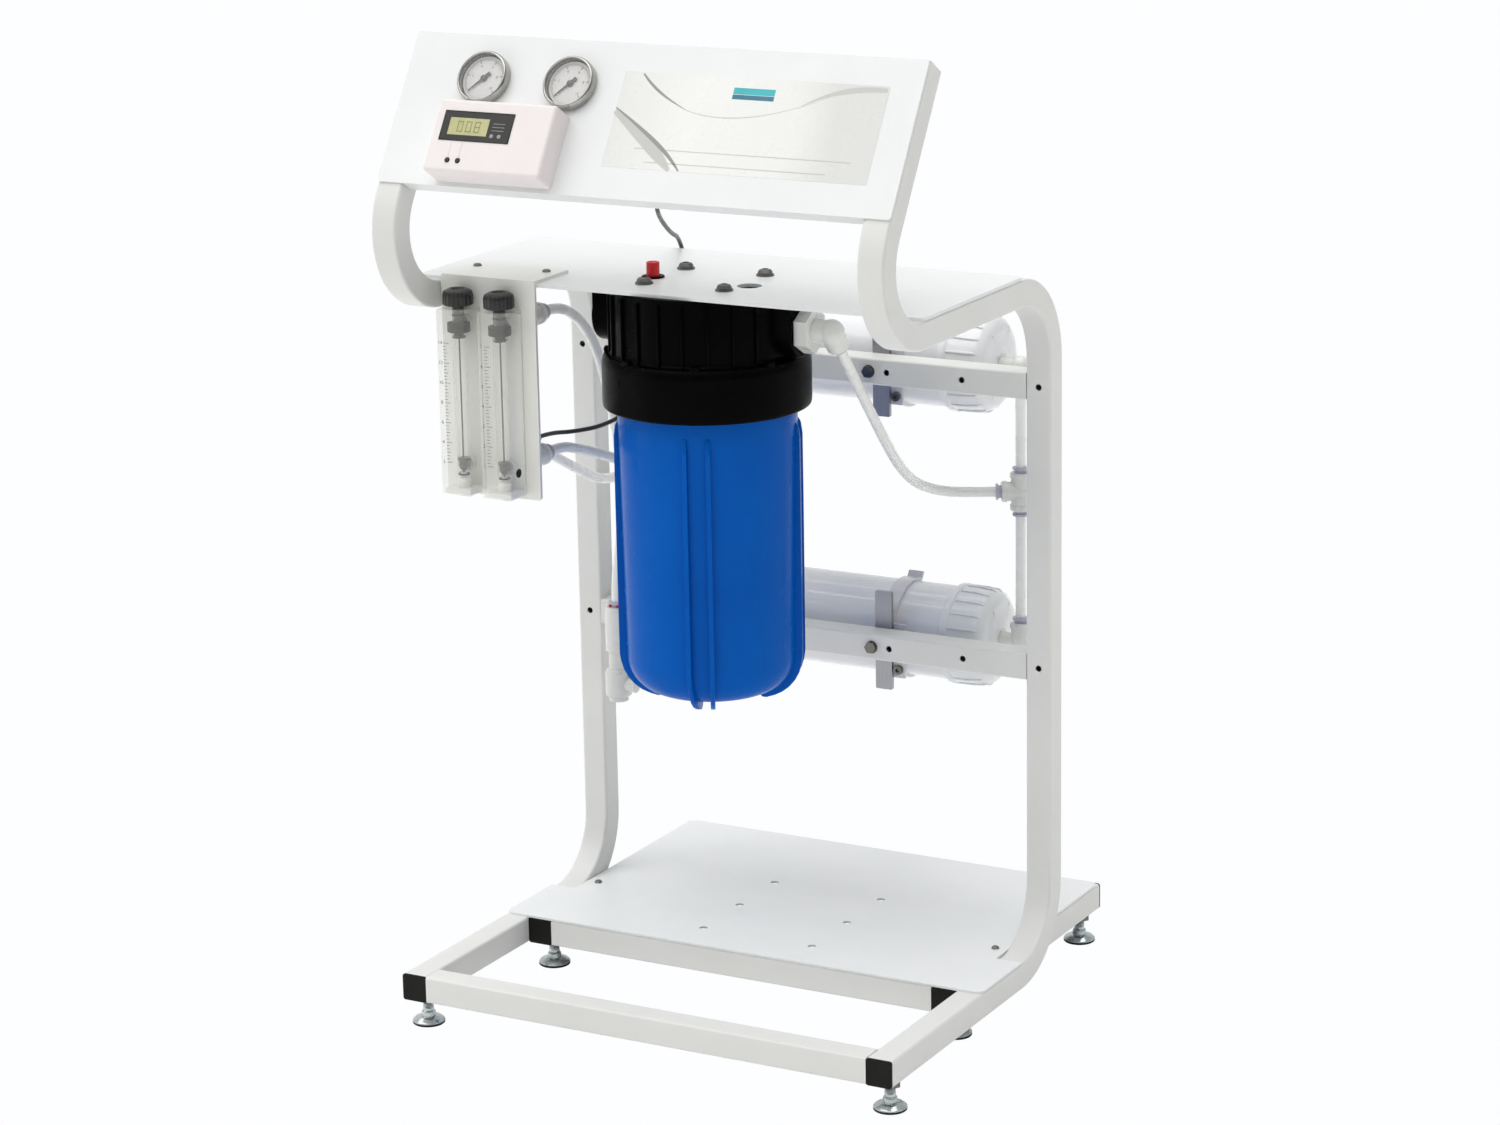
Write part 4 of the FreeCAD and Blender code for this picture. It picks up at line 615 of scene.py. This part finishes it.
# ------------------------------------------------------------------ flow meters
MX = (-198.0, -155.5)
B = Build()
for x in MX:
    B.block(x - 15, x + 15, 40.0, 67.9, 500.0, 668.0, I4, 1.6, 3)
B.make("meter_blocks", "acrylic_clear", "stand", gone=("meter_bodies",))
TUBE = clear("meter_tube_mat", (0.72, 0.73, 0.70), 0.12, 0.03, 0.8, 0.5, 2.6)
B = Build()
for x in MX:
    B.lathe([(6.0, 520.0), (7.2, 643.8), (5.7, 645.0), (5.7, 667.5)], at(x, 54.0), 48)
    B.lathe([(3.0, 514.0), (6.0, 520.0)], at(x, 54.0), 48)
B.make("meter_bores", TUBE, "stand")
B = Build()
for x in MX:
    B.block(x - 13.6, x + 13.6, 66.0, 67.7, 504.0, 664.0, I4, 0.5, 2)
    B.lathe(soft([(0, 501.0), (6.2, 501.0, 0.6), (6.2, 512.0, 0.8), (3.4, 514.5, 0.6), (2.6, 519.0)], 0.5), at(x, 54.0), 40)
    B.block(x - 13.5, x + 13.5, 42.5, 65.0, 500.6, 505.5, I4, 0.8, 2)
B.make("meter_backings", "bracket_white")
B = Build()
for x in MX:
    for k in range(37):
        z = 530.0 + 3.0 * k
        w_ = 5.6 if k % 6 == 0 else (4.0 if k % 3 == 0 else 2.8)
        B.block(x - 8.0, x - 8.0 + w_, 39.84, 39.96, z - 0.2, z + 0.2, I4)
    for k in range(7):
        B.text(str(k + 1 if x > -170 else 2 * (k + 1)), 4.4, Matrix.Translation(P(x - 11.2, 39.9, 530.0 + 18.0 * k)) @ Matrix.Rotation(math.radians(90), 4, "X"))
B.make("meter_scales", INK_AND_SHADE, "stand")
B = Build()
for x in MX:
    for z in (641.6, 647.0, 661.5):
        ring_torus(B, 5.2, 0.95, z, at(x, 54.0), 48)
    B.lathe(soft([(0, 642.0), (4.6, 642.0, 0.5), (4.6, 646.0, 0.5), (3.0, 647.8), (3.0, 654.5), (0, 654.5)], 0.4), at(x, 54.0), 36)
    ring_torus(B, 4.6, 0.8, 517.0, at(x, 54.0), 40)
    B.lathe([(5.95, 646.4), (9.8, 646.4), (10.2, 646.8), (10.2, 654.2), (9.8, 654.6), (5.95, 654.6), (5.95, 646.4)], at(x, 54.0), 48)
B.make("meter_seals", "seal_rubber")
B = Build()
for x in MX:
    B.lathe([(0, 513.0), (0.75, 513.0), (0.75, 642.0), (0, 642.0)], at(x, 54.0), 16)
B.make("meter_guide_rods", "float_steel")
B = Build()
for x, z in ((MX[1], 523.0),):
    B.lathe(soft([(0, -0.5), (4.0, -0.5), (4.0, 0.5, 0.4), (2.0, 0.6, 0.2), (1.6, 0.1, 0.2), (0, 0.1)], 0.2), along(x + 15.0, 54.0, z, (1, 0, 0)), 40)
for x in MX:
    B.lathe(soft([(0, 500.2), (3.6, 500.2), (3.6, 499.6, 0.3), (1.6, 499.5, 0.2), (0, 500.0)], 0.2), at(x, 54.0), 32)
B.make("meter_port_plugs", "seal_rubber")
for i, x in enumerate(MX):
    n = ("left", "right")[i]
    B = Build()
    # fluted dome knob
    N = 20
    segs = 160
    prof = soft([(0, 670.4), (12.2, 670.3, 0.6), (13.2, 671.4, 0.8), (13.2, 679.5), (12.2, 683.2, 2.4), (8.4, 685.2, 2.0), (6.6, 684.9, 0.6), (5.8, 683.6, 0.6), (0, 683.4)], 0.6, n=4)
    rows = []
    for r, z in prof:
        if r < 1e-6:
            rows.append([B.bm.verts.new(P(x, 54.0, z))])
            continue
        row = []
        for k in range(segs):
            th = 2 * math.pi * k / segs
            dep = 0.9 * max(0.0, math.cos(N * th)) ** 0.6 if r > 11.5 and 671 < z < 683 else 0.0
            rr_ = r + 0.55 - dep if r > 11.5 and 671 < z < 683 else r
            row.append(B.bm.verts.new(P(x + rr_ * math.cos(th), 54.0 + rr_ * math.sin(th), z)))
        rows.append(row)
    for A, C_ in zip(rows, rows[1:]):
        for k in range(segs):
            j = (k + 1) % segs
            if len(A) == 1:
                B.bm.faces.new((A[0], C_[j], C_[k]))
            elif len(C_) == 1:
                B.bm.faces.new((A[k], A[j], C_[0]))
            else:
                B.bm.faces.new((A[k], A[j], C_[j], C_[k]))
    B.lathe(soft([(5.3, 671.0), (5.3, 653.0, 0.8), (0, 652.5)], 0.5), at(x, 54.0), 40)
    B.make("meter_knob_" + n + "_fluted", "knob_black", "knob_" + n, gone=("meter_knob_" + n,), angle=50)
    B = Build()
    B.block(x - 0.5, x + 0.5, 54.0 - 5.6, 54.0 - 1.4, 683.45, 683.6, I4)
    B.make("meter_knob_" + n + "_mark", "bracket_white", "knob_" + n)
    B = Build()
    B.lathe(soft([(0.95, 520.4), (2.2, 520.4, 0.4), (4.6, 524.0, 0.6), (4.6, 528.6, 0.4), (5.4, 529.8, 0.3), (5.4, 531.9, 0.4), (0.95, 532.0)], 0.3, closed=True), at(x, 54.0), 48, closed=True)
    B.make("meter_float_" + n + "_turned", "float_steel", "float_" + n, gone=("meter_float_" + n,))

# ------------------------------------------------------------------ feet
FEET = [("front_left", -237.5, 22.0), ("front_right", 237.5, 22.0), ("middle_left", -212.5, 205.0), ("middle_right", 212.5, 205.0), ("rear_left", -212.5, 480.0), ("rear_right", 212.5, 480.0)]
for n, x, y in FEET:
    B = Build()
    th = []
    z = 16.0
    while z < 41.0:
        th += [(5.0, z), (4.62, z + 0.55)]
        z += 1.1
    B.lathe([(0, 1.4), (13.4, 1.4)] + soft([(14.0, 1.6), (15.0, 2.4, 0.4), (15.0, 3.4, 0.8), (12.6, 5.4, 1.2)], 0.6) + arcp(6.2, -1.0, 8.4, 48, 84, 8) + soft([(6.6, 7.4), (6.4, 11.4, 0.6), (5.4, 12.4, 0.5), (5.0, 12.6)], 0.4) + th + [(4.2, 41.6), (0, 42.0)], at(x, y), 72)
    B.make("foot_" + n + "_turned", "foot_metal", "foot_" + n, gone=("foot_" + n,))
    B = Build()
    B.lathe(soft([(0, 0.0), (14.2, 0.0, 0.5), (15.0, 0.7, 0.4), (15.0, 2.3, 0.3), (13.2, 2.4), (0, 2.4)], 0.3), at(x, y), 72)
    B.make("foot_" + n + "_pad", "seal_rubber", "foot_" + n)

# ------------------------------------------------------------------ membrane caps and shells
B = Build()
S = Build()
for z in (578.5, 316.0):
    S.lathe([(44.5, -188.0), (44.5, 153.0), (41.0, 153.0), (41.0, -188.0)], along(0, 408.0, z, (1, 0, 0)), 128, closed=True)
    for sx, xe in ((1, 165.0), (-1, -200.0)):
        Mx = along(xe, 408.0, z, (-sx, 0, 0))
        cp = soft([(44.55, 45.0), (46.8, 45.0, 0.7), (47.6, 43.6, 0.7), (47.6, 38.4, 0.8), (46.2, 36.8, 0.8), (46.0, 24.0, 3), (44.6, 8.5, 4), (38.6, 2.2, 4), (30.6, 0.5, 2), (16.0, 0.25), (15.0, 0.0, 0.5), (9.8, 0.0, 0.5), (9.0, 0.9, 0.4), (6.55, 1.0, 0.2), (6.55, 9.0)], 0.8)
        B.lathe(cp, Mx, 128)
        for k in range(20):
            Mk = Mx @ Matrix.Rotation(math.radians(18.0 * k + 4), 4, "Z")
            # shallow grip ribs that die out towards the dome
            B.prism([(44.8, 37.0), (47.4, 36.6), (47.2, 22.0), (46.3, 10.5), (43.6, 7.0), (43.0, 12.0), (44.0, 30.0)], -1.3, 1.3, Mk @ Matrix(((1, 0, 0, 0), (0, 0, 1, 0), (0, 1, 0, 0), (0, 0, 0, 1))), 0.9, 3)
        for k in range(6):
            Mk = Mx @ Matrix.Rotation(math.radians(60.0 * k + 30), 4, "Z")
            B.block(17.5, 35.0, -1.2, 1.2, 0.4 if k % 2 else 0.45, 4.0, Mk, 0.6, 2)
B.make("membrane_caps_ribbed", "cap_white", "stand", gone=("membrane_caps",))
S.make("membrane_tubes", "housing_white", "stand", gone=("membrane_shells",))

# tube-edge rounding on the plates and small fittings that stay as built
for n, w_ in (("base_plate", 0.5), ("shelf_plate", 0.6), ("meter_bracket", 0.5), ("membrane_clips", 0.6), ("bracket_bars", 0.4), ("tube_tees", 0.5), ("membrane_elbows", 0.5),
              ("outlet_elbow", 0.6), ("drain_valve", 0.6), ("meter_fittings", 0.5), ("fitting_collets", 0.4), ("foot_locknuts", 0.5), ("screws_and_bolts", 0.3), ("filter_head_bolts", 0.3), ("console_panel", 0.5)):
    md = NODES[n].modifiers.new("edge", "BEVEL")
    md.width = w_ / 1000.0
    md.segments = 2
    md.limit_method = "ANGLE"
    md.angle_limit = math.radians(50)

# ------------------------------------------------------------------ cords
def hose(name, pts, d, slot, node_=None):
    cu = bpy.data.curves.new(name, "CURVE")
    cu.dimensions = "3D"
    cu.bevel_depth = d / 2.0
    cu.bevel_resolution = 10
    cu.use_fill_caps = True
    sp = cu.splines.new("NURBS")
    sp.points.add(len(pts) - 1)
    for i, p in enumerate(pts):
        sp.points[i].co = (p[0], p[1], p[2], 1.0)
    sp.order_u = 3
    sp.use_endpoint_u = True
    sp.resolution_u = 14
    o = bpy.data.objects.new(name, cu)
    bpy.context.scene.collection.objects.link(o)
    o.data.materials.append(M[slot])
    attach(o, "stand")
    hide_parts(node_)
    return o


TEE = math.radians(30)
END = P(184.0 - 23.0 * math.cos(TEE), 408.0 - 23.0 * math.sin(TEE), 460.0)
LEAD = P(184.0 - 47.0 * math.cos(TEE), 408.0 - 47.0 * math.sin(TEE), 460.0)
TILT = math.radians(40)
OUT_A = P(124, 149 + 22.0 * math.sin(TILT), 654 - 22.0 * math.cos(TILT))
OUT_B = P(124, 149 + 52.0 * math.sin(TILT), 654 - 52.0 * math.cos(TILT))
FEED = [OUT_A, OUT_B, P(124, 207, 585), P(121, 251, 539), P(115.5, 292, 503.5), P(112, 334, 476.5), P(122.5, 364, 463.5), LEAD, END]
hose("hose_feed", FEED, 0.0095, "tube_white", node_="feed_hose")
DRAIN = [P(-155.5, 128, 654), P(-155.5, 154, 654), P(-155, 184, 640), P(-155, 210, 616), P(-156, 229, 585), P(-161, 252, 545), P(-169, 279, 492), P(-177, 297, 440), P(-186, 303, 390), P(-190, 301, 360), P(-190, 301, 338)]
hose("hose_drain", DRAIN, 0.0095, "tube_white", node_="drain_hose")
PERM = [P(-212, 385, 447), P(-212, 352, 447), P(-209, 306, 454), P(-204, 258, 476), P(-199.5, 214, 497), P(-198, 174, 517), P(-198, 150, 525), P(-198, 128, 525)]
hose("hose_permeate", PERM, 0.0095, "tube_white", node_="permeate_hose")
CONC = [P(-189, 434, 400), P(-163, 434, 400), P(-127, 421.5, 404), P(-106, 389, 412), P(-109, 340, 432), P(-126, 290, 464), P(-142, 244, 492), P(-151, 208, 507), P(-154.8, 178, 517.5), P(-155.5, 152, 525), P(-155.5, 128, 525)]
hose("hose_concentrate", CONC, 0.0095, "tube_white", node_="concentrate_hose")
GY = 12.0 + 40.0 * E.y - 14.0 * F.y
GZ = 784.0 + 40.0 * E.z - 14.0 * F.z
CABLE = [P(0, GY, GZ), P(-2, GY + 14, GZ - 10), P(-10, GY + 38, GZ - 22), P(-24, 106, 763), P(-44, 146, 744), P(-62, 190, 726), P(-80, 232, 712), P(-96, 270, 702), P(-106, 298, 680), P(-110, 304, 642), P(-113, 298, 604),
         P(-118, 276, 570), P(-126, 240, 547), P(-137, 200, 536), P(-149, 162, 537), P(-155, 134, 541.5), P(-155.5, 113, 542)]
hose("cable_sensor", CABLE, 0.004, "cable_black", node_="sensor_cable")

# ------------------------------------------------------------------ stage, light, camera
fl = bpy.data.meshes.new("floor")
R = 9.0
fl.from_pydata([(-R, -R, 0), (R, -R, 0), (R, R, 0), (-R, R, 0)], [], [(0, 1, 2, 3)])
floor = bpy.data.objects.new("floor", fl)
bpy.context.scene.collection.objects.link(floor)
mfl, tfl, bfl = nt("floor_mat")
bfl.inputs["Base Color"].default_value = (0.9, 0.9, 0.9, 1)
sset(bfl, Roughness=0.6, Specular_IOR_Level=0.2)
floor.data.materials.append(mfl)
floor.visible_camera = False

w = bpy.data.worlds.new("world")
bpy.context.scene.world = w
w.use_nodes = True
wt = w.node_tree
bg = wt.nodes["Background"]
lp = wt.nodes.new("ShaderNodeLightPath")
wc = wt.nodes.new("ShaderNodeTexCoord")
dot = wt.nodes.new("ShaderNodeVectorMath")
dot.operation = "DOT_PRODUCT"
dot.inputs[1].default_value = (-0.62, 0.72, 0.3)
wt.links.new(wc.outputs["Generated"], dot.inputs[0])
mr = wt.nodes.new("ShaderNodeMapRange")
mr.inputs["From Min"].default_value = -1.0
mr.inputs["From Max"].default_value = 1.0
mr.inputs["To Min"].default_value = 0.16
mr.inputs["To Max"].default_value = 0.80
wt.links.new(dot.outputs["Value"], mr.inputs["Value"])
mixw = wt.nodes.new("ShaderNodeMix")
mixw.inputs[3].default_value = 1.0
wt.links.new(lp.outputs["Is Camera Ray"], mixw.inputs[0])
wt.links.new(mr.outputs["Result"], mixw.inputs[2])
wt.links.new(mixw.outputs[0], bg.inputs["Strength"])
bg.inputs["Color"].default_value = (0.985, 0.99, 1.0, 1)


def area(name, loc, look, size, power, color=(1, 1, 1), size_y=None):
    l = bpy.data.lights.new(name, "AREA")
    l.shape = "RECTANGLE"
    l.size = size
    l.size_y = size_y or size
    l.energy = power
    l.color = color
    o = bpy.data.objects.new(name, l)
    o.location = loc
    d = (Vector(look) - Vector(loc)).normalized()
    o.rotation_euler = d.to_track_quat("-Z", "Y").to_euler()
    bpy.context.scene.collection.objects.link(o)
    return o


sun = bpy.data.lights.new("soft_top", "SUN")
sun.energy = 2.2
sun.angle = math.radians(75)
sun.color = (1.0, 0.992, 0.972)
so = bpy.data.objects.new("soft_top", sun)
so.rotation_euler = Vector((0.1, 0.22, -0.97)).to_track_quat("-Z", "Y").to_euler()
bpy.context.scene.collection.objects.link(so)
area("key", (-2.3, -1.7, 1.2), (0, 0, 0.5), 0.22, 6, (1, 0.998, 0.99), 2.6)
area("rim", (2.6, 0.6, 1.6), (0, 0.1, 0.5), 0.7, 1, (0.95, 0.98, 1.0), 2.0)

cam = bpy.data.cameras.new("camera")
cam.sensor_width = 36.0
cam.lens = 4115.91 / 1500.0 * 36.0
cam.clip_start = 0.1
cam.clip_end = 60.0
co = bpy.data.objects.new("camera", cam)
bpy.context.scene.collection.objects.link(co)
yaw, pitch, roll = math.radians(28.7), math.radians(-14.49 - 0.385), math.radians(-1.05)
fwd = Vector((-math.sin(yaw) * math.cos(pitch), math.cos(yaw) * math.cos(pitch), math.sin(pitch)))
right = fwd.cross(Vector((0, 0, 1))).normalized()
up = right.cross(fwd)
r2 = right * math.cos(roll) + up * math.sin(roll)
u2 = -right * math.sin(roll) + up * math.cos(roll)
loc = Vector((1.73842, -2.95509 - 0.2475, 1.37821))
co.matrix_world = Matrix(((r2.x, u2.x, -fwd.x, loc.x), (r2.y, u2.y, -fwd.y, loc.y), (r2.z, u2.z, -fwd.z, loc.z), (0, 0, 0, 1)))
bpy.context.scene.camera = co
bpy.context.scene.view_settings.view_transform = "Standard"
